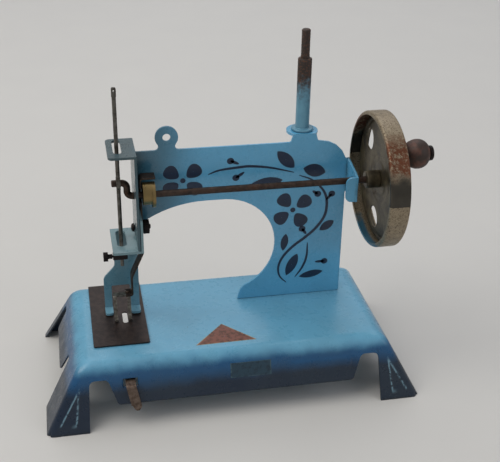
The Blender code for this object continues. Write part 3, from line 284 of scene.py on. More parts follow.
@dataclass(frozen=True)
class RimNickel(Finish):
    """Nickel plate on a rolled steel rim: a smooth band just above the hub's height coloured dark as a
    painted reflection, rusty in a band above that, tan and dull with oxide elsewhere, and blue on the left
    edge at its foot."""

    hub_z: float = 0.1108

    def paint(self, tree, shader, place) -> None:
        """Zone the plate by height at rest: oxide, rust band, a dark painted reflection band, oxide, blue
        foot.
        """
        side, _, height = add(tree, "SeparateXYZ", {0: place}).outputs
        waver = sums(tree, "MULTIPLY", sums(tree, "SUBTRACT", noise(tree, place, 7, 5), 0.5), 0.012)
        level = sums(tree, "ADD", sums(tree, "SUBTRACT", height, self.hub_z), waver)
        oxide = blend(tree, noise(tree, place, 3, 7, 0.7), "A89A82", "6E6250")
        pits = ramp(tree, noise(tree, place, 0.8, 4, 0.8), 0.54, 0.6)
        oxide = blend(tree, pits, oxide, "4A3A2A")
        rise = ramp(tree, level, 0.013, 0.019)
        fall = ramp(tree, level, 0.027, 0.034, 1.0, 0.0)
        band = sums(tree, "MULTIPLY", rise, fall)
        speck = ramp(tree, noise(tree, place, 1.9, 8, 0.78), 0.40, 0.52)
        rust = blend(tree, noise(tree, place, 0.7, 4, 0.7), "7A4426", "3A2116")
        oxide = blend(tree, sums(tree, "MULTIPLY", band, speck), oxide, rust)
        # painted reflection: just above the hub a dark colour stands for the dark room mirrored in the smooth
        # plate
        low = ramp(tree, height, self.hub_z + 0.0003, self.hub_z + 0.0006)
        painted_reflection = sums(tree, "MULTIPLY", low, ramp(tree, level, 0.012, 0.018, 1.0, 0.0))
        plate = blend(tree, noise(tree, place, 5, 5), "2E2B27", "4C483F")
        colour = blend(tree, painted_reflection, oxide, plate)
        bottom = ramp(tree, level, -0.034, -0.029, 1.0, 0.0)
        left_edge = ramp(tree, side, 0.079, 0.081, 1.0, 0.0)
        blue = sums(tree, "MULTIPLY", bottom, left_edge)
        colour = blend(tree, blue, colour, "3F7088")
        tree.links.new(colour, shader.inputs["Base Color"])
        dull = ramp(tree, noise(tree, place, 1.5, 5), 0.3, 0.7, 0.36, 0.56)
        rough = add(tree, "Mix", {0: painted_reflection, 2: dull, 3: 0.13}, data_type="FLOAT").outputs[0]
        tree.links.new(rough, shader.inputs["Roughness"])
        grit = noise(tree, place, 1.1, 6, 0.75)
        coarse = sums(tree, "MULTIPLY", grit, sums(tree, "SUBTRACT", 1.0, painted_reflection))
        relief(tree, shader, coarse, 0.12, 0.55)


@dataclass(frozen=True)
class Beech(Finish):
    """Turned beech under dark stain: fine rings of grain, worn reddish where it was held."""

    dark: str = "21150F"
    warm: str = "5A3426"

    def paint(self, tree, shader, place) -> None:
        """Stretch the grain along the turning axis and let the wear show in patches."""
        along = add(tree, "Mapping", {"Vector": place, "Scale": (0.18, 1.0, 1.0)}).outputs[0]
        grain = noise(tree, along, 0.7, 5, 0.6)
        wear = ramp(tree, noise(tree, place, 7, 4, 0.6), 0.42, 0.68)
        base = blend(tree, grain, self.dark, "36231A")
        tree.links.new(blend(tree, wear, base, self.warm), shader.inputs["Base Color"])
        tree.links.new(ramp(tree, grain, 0.2, 0.8, 0.42, 0.62), shader.inputs["Roughness"])
        relief(tree, shader, grain, 0.08, 0.5)


@dataclass(frozen=True)
class Sprayed(Finish):
    """Thin stencilled enamel: full in the middle of a shape, feathered to the coat at its edge."""

    full: str = "071730"
    edge: str = "5E9AB8"

    def paint(self, tree, shader, place) -> None:
        """Take the cover from the mesh's own attribute and speckle it like spray."""
        cover = add(tree, "Attribute", attribute_name="cover").outputs["Fac"]
        mist = sums(tree, "MULTIPLY", sums(tree, "SUBTRACT", noise(tree, place, 0.6, 3), 0.5), 0.5)
        share = ramp(tree, sums(tree, "ADD", cover, mist), 0.15, 0.6)
        deep = blend(tree, noise(tree, place, 6, 4), self.full, "0D2A47")
        tree.links.new(blend(tree, share, self.edge, deep), shader.inputs["Base Color"])
        rough = ramp(tree, noise(tree, place, 4, 4), 0.3, 0.7, 0.3, 0.46)
        tree.links.new(rough, shader.inputs["Roughness"])


@dataclass(frozen=True)
class Label(Finish):
    """A printed transfer, faded and rubbed through in places, with a thin lighter border."""

    field: str = "7A4331"
    border: str = "A08B5E"
    rubbed: str = "4B3026"

    def paint(self, tree, shader, place) -> None:
        """Draw the border from the mesh's attribute and rub both colours."""
        rim = add(tree, "Attribute", attribute_name="cover").outputs["Fac"]
        wear = ramp(tree, noise(tree, place, 2.2, 7, 0.7), 0.46, 0.62)
        line = blend(tree, wear, self.border, self.rubbed)
        body = blend(tree, wear, self.field, self.rubbed)
        share = ramp(tree, rim, 0.45, 0.55)
        tree.links.new(blend(tree, share, line, body), shader.inputs["Base Color"])
        tree.links.new(ramp(tree, wear, 0.0, 1.0, 0.38, 0.6), shader.inputs["Roughness"])


@dataclass(frozen=True)
class PinPaint(Finish):
    """Enamel on a turned pin, worn off towards its top, where the steel has gone brown."""

    paint_end: float = 0.150
    bare_start: float = 0.166

    def paint(self, tree, shader, place) -> None:
        """Fade from paint to bare steel along Z through a ragged, rusty edge."""
        height = add(tree, "SeparateXYZ", {0: place}).outputs[2]
        drift = sums(tree, "SUBTRACT", noise(tree, place, 2.5, 7, 0.7), 0.5)
        ragged = sums(tree, "MULTIPLY", drift, 0.028)
        bare = ramp(tree, sums(tree, "ADD", height, ragged), self.paint_end, self.bare_start)
        coat = blend(tree, noise(tree, place, 5, 5), "6C9DB2", "4F8199")
        steel = blend(tree, noise(tree, place, 1.4, 6, 0.7), "3D2F28", "1F1B19")
        hot = ramp(tree, noise(tree, place, 1.0, 5), 0.5, 0.62)
        steel = blend(tree, sums(tree, "MULTIPLY", hot, 0.5), steel, "6B422B")
        tree.links.new(blend(tree, bare, coat, steel), shader.inputs["Base Color"])
        tree.links.new(ramp(tree, bare, 0.0, 1.0, 0.34, 0.58), shader.inputs["Roughness"])
        relief(tree, shader, sums(tree, "SUBTRACT", 0.0, bare), 0.05)


@dataclass(frozen=True)
class Paper(Finish):
    """Pale seamless studio paper, matt and even."""

    tone: str = "CFCECB"

    def paint(self, tree, shader, place) -> None:
        """Vary the tone so little that it reads as one sheet."""
        fibre = noise(tree, place, 60, 3)
        tree.links.new(blend(tree, fibre, self.tone, "CBCAC8"), shader.inputs["Base Color"])
        shader.inputs["Roughness"].default_value = 0.9


# ---------------------------------------------------------------- meshes from arrays
def grid_faces(rows: int, columns: int, wrap_rows: bool = False, wrap_columns: bool = False) -> np.ndarray:
    """Corner indices of the quads of a rows by columns grid.

    Args:
        rows: number of rows of points.
        columns: number of points in a row.
        wrap_rows: join the last row to the first.
        wrap_columns: join the last column to the first.

    Returns:
        An integer array with four indices for each face.
    """
    index = np.arange(rows * columns).reshape(rows, columns)
    if wrap_rows:
        index = np.vstack([index, index[:1]])
    if wrap_columns:
        index = np.hstack([index, index[:, :1]])
    corners = (index[:-1, :-1], index[1:, :-1], index[1:, 1:], index[:-1, 1:])
    return np.stack([c.ravel() for c in corners], axis=1)


def mesh_object(name: str, points: np.ndarray, faces: np.ndarray, merge: float = 2e-6) -> bpy.types.Object:
    """Make an object from points and faces, weld it, and turn its faces outwards.

    Args:
        name: the piece's name.
        points: an array of shape (n, 3), in metres.
        faces: an integer array, one row for each face.
        merge: points closer than this become one.

    Returns:
        The new object, at the origin.
    """
    mesh = bpy.data.meshes.new(name)
    mesh.from_pydata(points.reshape(-1, 3).tolist(), [], faces.tolist())
    work = bmesh.new()
    work.from_mesh(mesh)
    bmesh.ops.remove_doubles(work, verts=work.verts, dist=merge)
    bmesh.ops.dissolve_degenerate(work, edges=work.edges, dist=merge)
    bmesh.ops.recalc_face_normals(work, faces=work.faces)
    work.to_mesh(mesh)
    work.free()
    obj = bpy.data.objects.new(name, mesh)
    bpy.context.scene.collection.objects.link(obj)
    return obj


def smooth(obj: bpy.types.Object, degrees: float = 34.0) -> None:
    """Shade a piece smooth, and keep edges sharper than the angle."""
    obj.data.shade_smooth()
    obj.data.set_sharp_from_angle(angle=math.radians(degrees))


def revolve(name: str, profile: np.ndarray, centre: tuple, axis: Axis, steps: int = 96, wave=None):
    """Turn a profile round an axis.

    The point at angle a on the profile row (r, l) lies r along (cos a, sin a) in the plane
    across the axis, and l along the axis. wave(a, r, l) returns a radius to add.

    Args:
        name: the piece's name.
        profile: rows of (radius, position along the axis).
        centre: the axis's two other coordinates, in X, Y, Z order.
        axis: the axis that it turns round.
        steps: points round the circle.
        wave: optional function of angle, radius and length.

    Returns:
        The new object.
    """
    angle = np.linspace(0, 2 * math.pi, steps, endpoint=False)[None, :]
    radius = profile[:, :1] + np.zeros_like(angle)
    along = profile[:, 1:] + np.zeros_like(angle)
    if wave is not None:
        radius = np.maximum(radius + wave(angle, radius, along), 0.0)
    across = [centre[0] + radius * np.cos(angle), centre[1] + radius * np.sin(angle)]
    across.insert(axis.value, along)
    faces = grid_faces(len(profile), steps, wrap_columns=True)
    return mesh_object(name, np.stack(across, axis=-1), faces)


def rounded_profile(corners: list, steps: int = 5) -> np.ndarray:
    """Replace each corner (u, v, radius) of an open line by an arc tangent to both sides.

    The arc runs about the point on the bisector at radius / sin(half the corner's angle).
    """
    points = [corners[0][:2]]
    for before, here, after in zip(corners, corners[1:], corners[2:]):
        corner = np.array(here[:2])
        first = np.array(before[:2]) - corner
        last = np.array(after[:2]) - corner
        first = first / np.linalg.norm(first)
        last = last / np.linalg.norm(last)
        if here[2] <= 0 or abs(first @ last) > 0.9999:
            points.append(tuple(corner))
            continue
        half = math.acos(float(np.clip(first @ last, -1, 1))) / 2
        middle = corner + (first + last) / np.linalg.norm(first + last) * here[2] / math.sin(half)
        start = corner + first * here[2] / math.tan(half) - middle
        end = corner + last * here[2] / math.tan(half) - middle
        turn = math.atan2(start[0] * end[1] - start[1] * end[0], start @ end)
        for share in np.linspace(0, 1, steps + 1):
            c, s = math.cos(turn * share), math.sin(turn * share)
            points.append((middle[0] + c * start[0] - s * start[1], middle[1] + s * start[0] + c * start[1]))
    points.append(corners[-1][:2])
    return np.array(points)


def sweep(name: str, path: np.ndarray, radius: np.ndarray, sides: int = 24) -> bpy.types.Object:
    """Carry a circle along a path that lies in an XZ plane.

    Each ring is spanned by +Y and by the tangent turned a quarter turn about Y, and both
    ends close on a point.
    """
    tangent = np.gradient(path, axis=0)
    tangent /= np.linalg.norm(tangent, axis=1, keepdims=True)
    side = np.array([0.0, 1.0, 0.0])
    normal = np.cross(tangent, side)
    angle = np.linspace(0, 2 * math.pi, sides, endpoint=False)
    ring = np.cos(angle)[None, :, None] * side + np.sin(angle)[None, :, None] * normal[:, None, :]
    points = path[:, None, :] + radius[:, None, None] * ring
    faces = grid_faces(len(path), sides, wrap_columns=True)
    return mesh_object(name, points, faces)


# ---------------------------------------------------------------- the frame and its pieces
@dataclass
class Bench:
    """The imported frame, and how a piece joins it."""

    frame: dict

    def axis_point(self, joint: str) -> Vector:
        """Where a joint's axis is."""
        found = next(j for j in self.frame["joints"] if j["name"] == joint)
        return Vector(found["pos_m"])

    def body(self, node: str) -> str:
        """The body that a node rides on."""
        bodies = self.frame["record"]["behaviour"]["bodies"]
        return next(name for name, members in bodies.items() if node in members)

    def material_slot(self, node: str) -> str:
        """The material slot that the record gives a node."""
        rows = self.frame["record"]["subparts"]
        return next(row["material_slot"] for row in rows if row["node"] == node)

    def fit(self, piece: bpy.types.Object, finish: Finish, node: str, stands_for: bool = True) -> None:
        """Paint a piece, put it on its node's body, and let it stand for the node.

        Args:
            piece: the finished object.
            finish: its main finish.
            node: the CAD node that it belongs to.
            stands_for: hide the node behind the piece.
        """
        if not piece.data.materials:
            piece.data.materials.append(finish.make())
        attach(piece, self.body(node))
        if stands_for:
            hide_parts(node)
        LOG.info("%s: %d faces, on %s", piece.name, len(piece.data.polygons), self.body(node))

    def rounded_copy(self, node: str, name: str, finish: Finish, edge: Finish, width_mm: float,
                     segments: int = 2) -> bpy.types.Object:
        """Copy a sheet node, weld it, and round its cut edges over.

        The rounding takes the edge finish, because paint and plate wear off there first.

        Args:
            node: the CAD node.
            name: the new piece's name.
            finish: the finish of its faces.
            edge: the finish of its rounded edges.
            width_mm: how wide the rounding is.
            segments: how many facets the rounding has.

        Returns:
            The new piece, already fitted.
        """
        mesh = self.frame["nodes"][node].data.copy()
        work = bmesh.new()
        work.from_mesh(mesh)
        bmesh.ops.remove_doubles(work, verts=work.verts, dist=2e-6)
        flat = math.radians(0.4)
        bmesh.ops.dissolve_limit(work, angle_limit=flat, verts=work.verts, edges=work.edges)
        work.to_mesh(mesh)
        work.free()
        mesh.materials.clear()
        mesh.materials.append(finish.make())
        mesh.materials.append(edge.make())
        mesh.polygons.foreach_set("material_index", np.zeros(len(mesh.polygons), int))
        piece = bpy.data.objects.new(name, mesh)
        bpy.context.scene.collection.objects.link(piece)
        smooth(piece)
        rounding = piece.modifiers.new("rounding", "BEVEL")
        rounding.width = width_mm * MM
        rounding.segments = segments
        rounding.limit_method = "ANGLE"
        rounding.angle_limit = math.radians(38)
        rounding.use_clamp_overlap = True
        rounding.harden_normals = True
        rounding.material = 1
        self.fit(piece, finish, node)
        return piece


# ---------------------------------------------------------------- finishes of this machine
SKY_ENAMEL = Enamel("stoved_enamel_airbrushed", chips=0.5)
# Arm: darker towards the left end, partly airbrushed paint and partly painted shade; past X 0.0655 the deep
# colour is painted shade on the flange.
ARM_ENAMEL = Enamel("stoved_enamel_arm", coat=0.3, light="5AA5CC", shade="3B7088", deep="2B474F",
                    axis=Axis.X, low=-0.052, middle=-0.040, high=-0.010, far=0.0655, feather_mm=5.0,
                    chips=0.4, grime=0.3)
# Bracket: painted light and shade along Z, lighter lower legs where light falls and a darker band of painted
# shadow under the tab.
BRACKET_ENAMEL = Enamel("stoved_enamel_bracket", coat=0.25, light="6F8F97", shade="4F7C8E",
                        deep="6C9DB3", low=0.040, middle=0.060, high=0.090, chips=0.75, grime=0.6)
WORN_EDGE = Metal("enamel_worn_to_steel", metallic=0.5, colour="4E5A5E", dark="232B30", rust="4B382C",
                  rusting=0.45, patch_mm=2.0, smooth=0.35)
BRONZED = Metal("bronzed_steel_plate", metallic=0.55, colour="3A2E2A", dark="241C1A", rust="4A3628",
                rusting=0.35, patch_mm=3.0, smooth=0.34, dull=0.5)
SHAFT_STEEL = Metal("browned_steel_rod", metallic=0.6, colour="4A3B33", dark="2B221E", rust="5D4030",
                    rusting=0.7, patch_mm=3.0)
BAR_STEEL = Metal("greyed_steel_bar", metallic=0.75, colour="6A6862", dark="3F3B36", rust="4F4238",
                  rusting=0.35, patch_mm=3.5, smooth=0.28)
BRASS = Metal("tarnished_brass", metallic=0.8, colour="8C7A52", dark="594C33", rust="4A3D28",
              rusting=0.35, patch_mm=2.5, smooth=0.3, dull=0.5)
WEB_NICKEL = Metal("dull_nickel_web", metallic=0.5, colour="5E5541", dark="332D22", rust="4A3524",
                   rusting=0.45, patch_mm=6.0, smooth=0.32, dull=0.55)
RIM_PLATE = RimNickel("nickel_plated_rim", metallic=0.55)
BLACK_STEEL = Metal("blackened_steel", metallic=0.5, colour="2B2725", dark="151312", rust="32241B",
                    rusting=0.3, patch_mm=1.8, smooth=0.36)
SPRING = Metal("browned_spring_steel", metallic=0.6, colour="45382E", dark="241D19", rust="573D2A",
               rusting=0.55, patch_mm=3.0)
TOE_STEEL = Metal("rubbed_steel_foot", metallic=0.85, colour="8B8880", dark="55504A", rust="54402F",
                  rusting=0.25, patch_mm=2.0, smooth=0.26)
THUMB_STEEL = Metal("rusty_thumb_strip", metallic=0.5, colour="75655A", dark="46372C", rust="55382A",
                    rusting=0.6, patch_mm=2.5)
WOOD = Beech("stained_beech")
STENCIL = Sprayed("stencilled_enamel")
TRANSFER = Label("red_transfer")
SKIRT_TRANSFER = Label("dark_transfer", field="1B3A4B", border="3E5963", rubbed="122B3A")
PIN_PAINT = PinPaint("enamel_worn_off_pin", metallic=0.15)


# ---------------------------------------------------------------- base
@dataclass
class Pan:
    """The pressed pan: rectangles stacked up the height, from the feet to the flat top."""

    bench: Bench
    height: float = 35.6 * MM
    flare_x: float = 19.0 * MM
    flare_y: float = 10.2 * MM
    sheet: float = 0.9 * MM
    bend: float = 6.0 * MM
    front_foot_width: float = 21.5 * MM
    side_foot_width: float = 24.5 * MM
    rear_foot_width: float = 3.5 * MM
    cut_top: float = 27.0 * MM
    side_cut_top: float = 26.0 * MM
    front_cut_width: float = 9.6 * MM
    front_cut_slant: float = 4.7 * MM
    front_side_cut_width: float = 4.8 * MM
    rear_side_cut_width: float = 6.2 * MM
    front_skirt: float = 13.5 * MM
    side_skirt: float = 16.0 * MM
    well_x: tuple = (-61.7 * MM, -48.7 * MM)
    well_y: tuple = (-10 * MM, 11 * MM)
    slot_x: tuple = (-60.2 * MM, -52.6 * MM)
    slot_z: tuple = (22.7 * MM, 26.9 * MM)
    corner_radius: float = 2.6 * MM
    ridge_radius: float = 3.6 * MM
    press: float = 0.5 * MM
    fan_x: float = 77.0 * MM
    fan_front: float = 18.0 * MM
    fan_back: float = 35.0 * MM
    fan_play: float = 0.4 * MM
    fan_pull_x: float = 5.0 * MM
    fan_pull_y: float = 4.0 * MM
    wall_rows: int = 20
    bend_rows: int = 10

    def __post_init__(self) -> None:
        """Read the pan's place and half sizes from the frame."""
        low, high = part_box("base_pan")
        self.middle = (low.x + high.x) / 2
        self.foot_x = (high.x - low.x) / 2
        self.foot_y = (high.y - low.y) / 2

    def half(self, z: np.ndarray, foot: float, flare: float) -> np.ndarray:
        """Half size at height z: a sloping wall, then a circle tangent to it and to the top.

        Args:
            z: heights.
            foot: half size at the floor.
            flare: how much the half size shrinks up to the top.

        Returns:
            The half sizes.
        """
        slope = math.atan(flare / self.height)
        radius = self.bend * math.tan((math.pi / 2 + slope) / 2)
        inner = foot - flare - self.bend
        drop = np.clip(z - (self.height - radius), 0, radius)
        arc = inner + np.sqrt(np.maximum(radius**2 - drop**2, 0))
        wall = foot - flare * z / self.height
        return np.where(z > self.height - self.bend * math.cos(slope), arc, wall)

    def place_x(self, q: np.ndarray, z: np.ndarray) -> np.ndarray:
        """Column q at height z: upright in the middle of a face, fanned out towards the feet."""
        lift = np.clip((z - self.cut_top - self.fan_play) / (self.height - self.cut_top), 0, 1)
        start = self.fan_x - self.fan_pull_x * lift * lift * (3 - 2 * lift)
        reach = (np.abs(q) - self.fan_x) / (self.foot_x - self.fan_x)
        outer = start + reach * (self.half(z, self.foot_x, self.flare_x) - start)
        return np.sign(q) * np.where(np.abs(q) <= self.fan_x, np.abs(q) / self.fan_x * start, outer)

    def place_y(self, q: np.ndarray, z: np.ndarray) -> np.ndarray:
        """The same along Y, where the front and the back feet fan from different places."""
        lift = np.clip((z - self.cut_top - self.fan_play) / (self.height - self.cut_top), 0, 1)
        fan = np.where(q < 0, self.fan_front, self.fan_back)
        start = fan - np.where(q < 0, 0.0, self.fan_pull_y) * lift * lift * (3 - 2 * lift)
        reach = (np.abs(q) - fan) / (self.foot_y - fan)
        outer = start + reach * (self.half(z, self.foot_y, self.flare_y) - start)
        return np.sign(q) * np.where(np.abs(q) <= fan, np.abs(q) / fan * start, outer)

    def column(self, place, target: np.ndarray, z: np.ndarray, limit: float) -> np.ndarray:
        """Invert place by halving: the column that passes through target at height z."""
        low = np.full(len(target), -limit)
        high = np.full(len(target), limit)
        for _ in range(40):
            middle = (low + high) / 2
            left = place(middle, z) < target
            low = np.where(left, middle, low)
            high = np.where(left, high, middle)
        return (low + high) / 2

    def lower_edge(self, place, outline: np.ndarray, limit: float, q: np.ndarray) -> np.ndarray:
        """How high each column's lower end is: the cut-outs, and each foot's rounded corner."""
        stations = self.column(place, outline[:, 0], outline[:, 1], limit)
        order = np.argsort(stations, kind="stable")
        edge = np.interp(q, stations[order], outline[order, 1])
        corner = np.clip(self.corner_radius - (limit - np.abs(q)), 0, self.corner_radius)
        lift = self.corner_radius - np.sqrt(self.corner_radius**2 - corner**2)
        return np.maximum(edge, lift)

    def front_outline(self) -> np.ndarray:
        """The front and back faces' lower edge, as (x, z)."""
        foot = self.foot_x - self.front_foot_width
        outer = foot - 1.9 * MM
        inner = outer - self.front_cut_width
        right = rounded_profile([
            (foot - 0.6 * MM, 0.0, 0.0), (outer, self.cut_top, 3 * MM), (inner, self.cut_top, 3 * MM),
            (inner - self.front_cut_slant, self.front_skirt, 2 * MM), (0.0, self.front_skirt, 0.0),
        ])
        ends = np.array([[self.foot_x, 0.0]])
        return np.vstack([ends * [-1, 1], right * [-1, 1], right[::-1], ends])

    def side_outline(self) -> np.ndarray:
        """The two ends' lower edge, as (y, z)."""
        front = -(self.foot_y - self.side_foot_width)
        rear = self.foot_y - self.rear_foot_width
        front_cut = front + 7.0 * MM
        front_end = front_cut + self.front_side_cut_width
        rear_cut = rear - 10.5 * MM
        rear_end = rear_cut - self.rear_side_cut_width
        top = self.side_cut_top
        corners = [
            (front + 2.0 * MM, 0.0, 0.0), (front_cut, top, 1.5 * MM), (front_end, top, 1.5 * MM),
            (front_end + 1.0 * MM, self.side_skirt, 2 * MM),
            (rear_end - 1.5 * MM, self.side_skirt, 2 * MM), (rear_end, top, 2 * MM),
            (rear_cut, top, 2 * MM), (rear - 2.9 * MM, 0.0, 0.0),
        ]
        ends = np.array([[-self.foot_y, 0.0], [self.foot_y, 0.0]])
        return np.vstack([ends[:1], rounded_profile(corners), ends[1:]])

    def embossing(self, x: np.ndarray, z: np.ndarray) -> np.ndarray:
        """Pressed relief on the front, as outward height.

        A ridge follows the outline of a triangle on each front foot, and a long rounded box
        stands proud at the right end of the skirt: both fall off smoothly with distance.
        """
        raised = np.zeros_like(x)
        for side in (-1, 1):
            corners = [(side * 83 * MM, 23 * MM), (side * 85.5 * MM, 5 * MM), (side * 93.5 * MM, 5.5 * MM)]
            near = np.full_like(x, 1.0)
            for (x0, z0), (x1, z1) in zip(corners, corners[1:] + corners[:1]):
                run = (x1 - x0) ** 2 + (z1 - z0) ** 2
                share = np.clip(((x - x0) * (x1 - x0) + (z - z0) * (z1 - z0)) / run, 0, 1)
                gap = np.hypot(x - x0 - share * (x1 - x0), z - z0 - share * (z1 - z0))
                near = np.minimum(near, gap)
            raised += self.press * np.exp(-((near / (0.9 * MM)) ** 2))
        past_x = np.maximum(np.abs(x - 46 * MM) - 15 * MM, 0)
        past_z = np.maximum(np.abs(z - 24 * MM) - 1.2 * MM, 0)
        raised += self.press / (1 + np.exp((np.hypot(past_x, past_z) - 1.3 * MM) / (0.22 * MM)))
        return raised

    def stations(self, limit: float, spacing: float, outline: np.ndarray, place, marks) -> np.ndarray:
        """Column positions: evenly spaced, closer on the feet, with one at each outline point.

        Args:
            limit: the outermost column.
            spacing: the even spacing.
            outline: the wall's lower edge.
            place: the function that turns a column into a place.
            marks: further columns that are needed.

        Returns:
            The positions in order, none closer to the next than a tenth of a millimetre.
        """
        even = np.arange(-limit, limit + spacing / 2, spacing)
        feet = np.linspace(limit - 24 * MM, limit, 44)
        points = self.column(place, outline[:, 0], outline[:, 1], limit)
        every = np.concatenate([even, feet, -feet, points, marks, [-limit, limit]])
        every = np.unique(np.round(np.clip(every, -limit, limit), 6))
        keep = np.concatenate([[True], np.diff(every) > 0.12 * MM])
        keep[-1] = True
        return every[keep]

    def round_corners(self, x: np.ndarray, y: np.ndarray, z: np.ndarray) -> np.ndarray:
        """Round the upright corners of the stacked rectangles.

        Past the corner circle's centre the offset d becomes d max(dx, dy) / |d|, which turns
        the corner's square into a quarter disc and leaves everything else where it was.
        """
        ridge = self.ridge_radius
        dx = np.maximum(np.abs(x) - self.half(z, self.foot_x, self.flare_x) + ridge, 0)
        dy = np.maximum(np.abs(y) - self.half(z, self.foot_y, self.flare_y) + ridge, 0)
        scale = np.maximum(dx, dy) / np.maximum(np.hypot(dx, dy), 1e-9)
        share = np.where((dx > 0) & (dy > 0), scale, 1.0)
        x = x - np.sign(x) * dx * (1 - share)
        y = y - np.sign(y) * dy * (1 - share)
        return np.stack([x, y, z], axis=-1)

    def wall_grids(self, qx: np.ndarray, qy: np.ndarray) -> list:
        """The four walls as grids of points, each with a mask of the faces to keep.

        Args:
            qx: column positions of the front and the back wall.
            qy: column positions of the two end walls.

        Returns:
            Pairs of a (rows, columns, 3) array and a mask, or None to keep every face.
        """
        wall_top = self.height - self.bend
        cuts = [(z - self.front_skirt) / (wall_top - self.front_skirt) for z in self.slot_z]
        share = np.unique(np.concatenate([np.linspace(0, 1, self.wall_rows), cuts]))
        curl = 1 - (1 - np.linspace(0, 1, self.bend_rows + 1)[1:]) ** 2
        faces = (
            (qx, self.place_x, self.front_outline(), self.foot_x),
            (qy, self.place_y, self.side_outline(), self.foot_y),
        )
        flats = []
        for q, place, outline, limit in faces:
            edge = self.lower_edge(place, outline, limit, q)
            lower = edge[None, :] + share[:, None] * (wall_top - edge[None, :])
            upper = wall_top + curl[:, None] * (self.height - wall_top) + 0 * edge[None, :]
            z = np.vstack([lower, upper])
            flats.append((place(np.broadcast_to(q, z.shape), z), z))
        x, z = flats[0]
        wall = self.half(z, self.foot_y, self.flare_y)
        inside = (x >= self.slot_x[0] - 1e-6) & (x < self.slot_x[1] - 1e-6)
        inside &= (z >= self.slot_z[0] - 1e-4) & (z < self.slot_z[1] - 1e-4)
        pressed = self.round_corners(x, -wall, z)
        pressed[..., 1] -= self.embossing(x, z)
        grids = [(pressed, ~inside), (self.round_corners(x, wall, z), None)]
        y, z = flats[1]
        wall = self.half(z, self.foot_x, self.flare_x)
        return grids + [(self.round_corners(side * wall, y, z), None) for side in (-1, 1)]

    def top_grid(self, qx: np.ndarray, qy: np.ndarray) -> tuple:
        """The flat top on the same columns, without the faces over the needle's well."""
        x = self.place_x(qx, np.full(len(qx), self.height))[None, :]
        y = self.place_y(qy, np.full(len(qy), self.height))[:, None]
        level = np.full((len(qy), len(qx)), self.height)
        hole = (x >= self.well_x[0] - 1e-6) & (x < self.well_x[1] - 1e-6)
        hole = hole & (y >= self.well_y[0] - 1e-6) & (y < self.well_y[1] - 1e-6)
        return self.round_corners(*np.broadcast_arrays(x, y, level)), ~hole

    def mark_ridge_wear_and_highlight(self, shell: bpy.types.Object) -> None:
        """Store how far each point of the front feet stands on a ridge, where paint rubs off and a paler
        colour paints a highlight.
        """
        places = np.zeros(len(shell.data.vertices) * 3)
        shell.data.vertices.foreach_get("co", places)
        places = places.reshape(-1, 3)
        worn = self.embossing(places[:, 0] - self.middle, places[:, 2]) / self.press
        on_foot = (places[:, 1] < 0) & (np.abs(places[:, 0]) > self.fan_x)
        worn = np.clip(3.0 * worn - 2.2, 0, 1) * on_foot
        ridge = shell.data.attributes.new("ridge", "FLOAT", "POINT")
        ridge.data.foreach_set("value", worn.astype(np.float32))

    def build(self) -> None:
        """Make the four walls and the top, join them, and give the sheet its thickness."""
        top = np.full(2, self.height)
        marks_x = self.column(self.place_x, np.array(self.well_x), top, self.foot_x)
        marks_y = self.column(self.place_y, np.array(self.well_y), top, self.foot_y)
        marks_x = [*marks_x, *self.slot_x]
        qx = self.stations(self.foot_x, 1.6 * MM, self.front_outline(), self.place_x, marks_x)
        qy = self.stations(self.foot_y, 1.4 * MM, self.side_outline(), self.place_y, marks_y)
        points, faces, count = [], [], 0
        for grid, keep in [*self.wall_grids(qx, qy), self.top_grid(qx, qy)]:
            quads = grid_faces(*grid.shape[:2])
            if keep is not None:
                quads = quads[keep[:-1, :-1].ravel()]
            faces.append(quads + count)
            points.append(grid.reshape(-1, 3))
            count += len(points[-1])
        placed = np.vstack(points) + [self.middle, 0, 0]
        shell = mesh_object("pressed_pan", placed, np.vstack(faces), 6e-6)
        self.mark_ridge_wear_and_highlight(shell)
        smooth(shell, 24)
        wall = shell.modifiers.new("sheet", "SOLIDIFY")
        wall.thickness = self.sheet
        wall.offset = -1.0
        self.bench.fit(shell, SKY_ENAMEL, "base_pan")

    def dress(self) -> None:
        """Lay the two plain transfers on the pan: a triangle on top, a plate on the skirt."""
        lift = 0.06 * MM
        corners = np.array([(-3.8, -13.2), (-20.5, -31.4), (12.3, -30.9)]) * MM
        flat = np.full((3, 1), self.height + lift)
        points = np.hstack([corners, flat]) + [self.middle, 0, 0]
        self.transfer("red_triangle", points, TRANSFER)
        z = np.array([29.2, 29.2, 21.4, 21.4]) * MM
        x = np.array([-3.8, 18.1, 18.1, -3.8]) * MM
        y = -(self.half(z, self.foot_y, self.flare_y) + lift)
        self.transfer("dark_plate", np.stack([x + self.middle, y, z], axis=1), SKIRT_TRANSFER)

    def transfer(self, name: str, corners: np.ndarray, finish: Finish) -> None:
        """A flat polygon in rings: the outer ring is its border, marked in the attribute."""
        centre = corners.mean(axis=0)
        steps = 8
        closed = np.vstack([corners, corners[:1]])
        edge = np.vstack([a + (b - a) * np.linspace(0, 1, steps, endpoint=False)[:, None]
                          for a, b in zip(closed, closed[1:])])
        shares = np.array([1.0, 0.955, 0.945, 0.6, 0.3, 0.02])
        rings = centre + shares[:, None, None] * (edge - centre)[None, :, :]
        faces = grid_faces(len(shares), len(edge), wrap_columns=True)
        piece = mesh_object(name, rings, faces)
        places = np.zeros(len(piece.data.vertices) * 3)
        piece.data.vertices.foreach_get("co", places)
        border = rings[:2].reshape(-1, 1, 3)
        gaps = np.linalg.norm(border - places.reshape(-1, 3)[None], axis=2).min(axis=0)
        cover = (gaps > 1e-5).astype(np.float32)
        piece.data.attributes.new("cover", "FLOAT", "POINT").data.foreach_set("value", cover)
        thick = piece.modifiers.new("film", "SOLIDIFY")
        thick.thickness = 0.04 * MM
        thick.offset = -1.0
        self.bench.fit(piece, finish, "base_pan", stands_for=False)


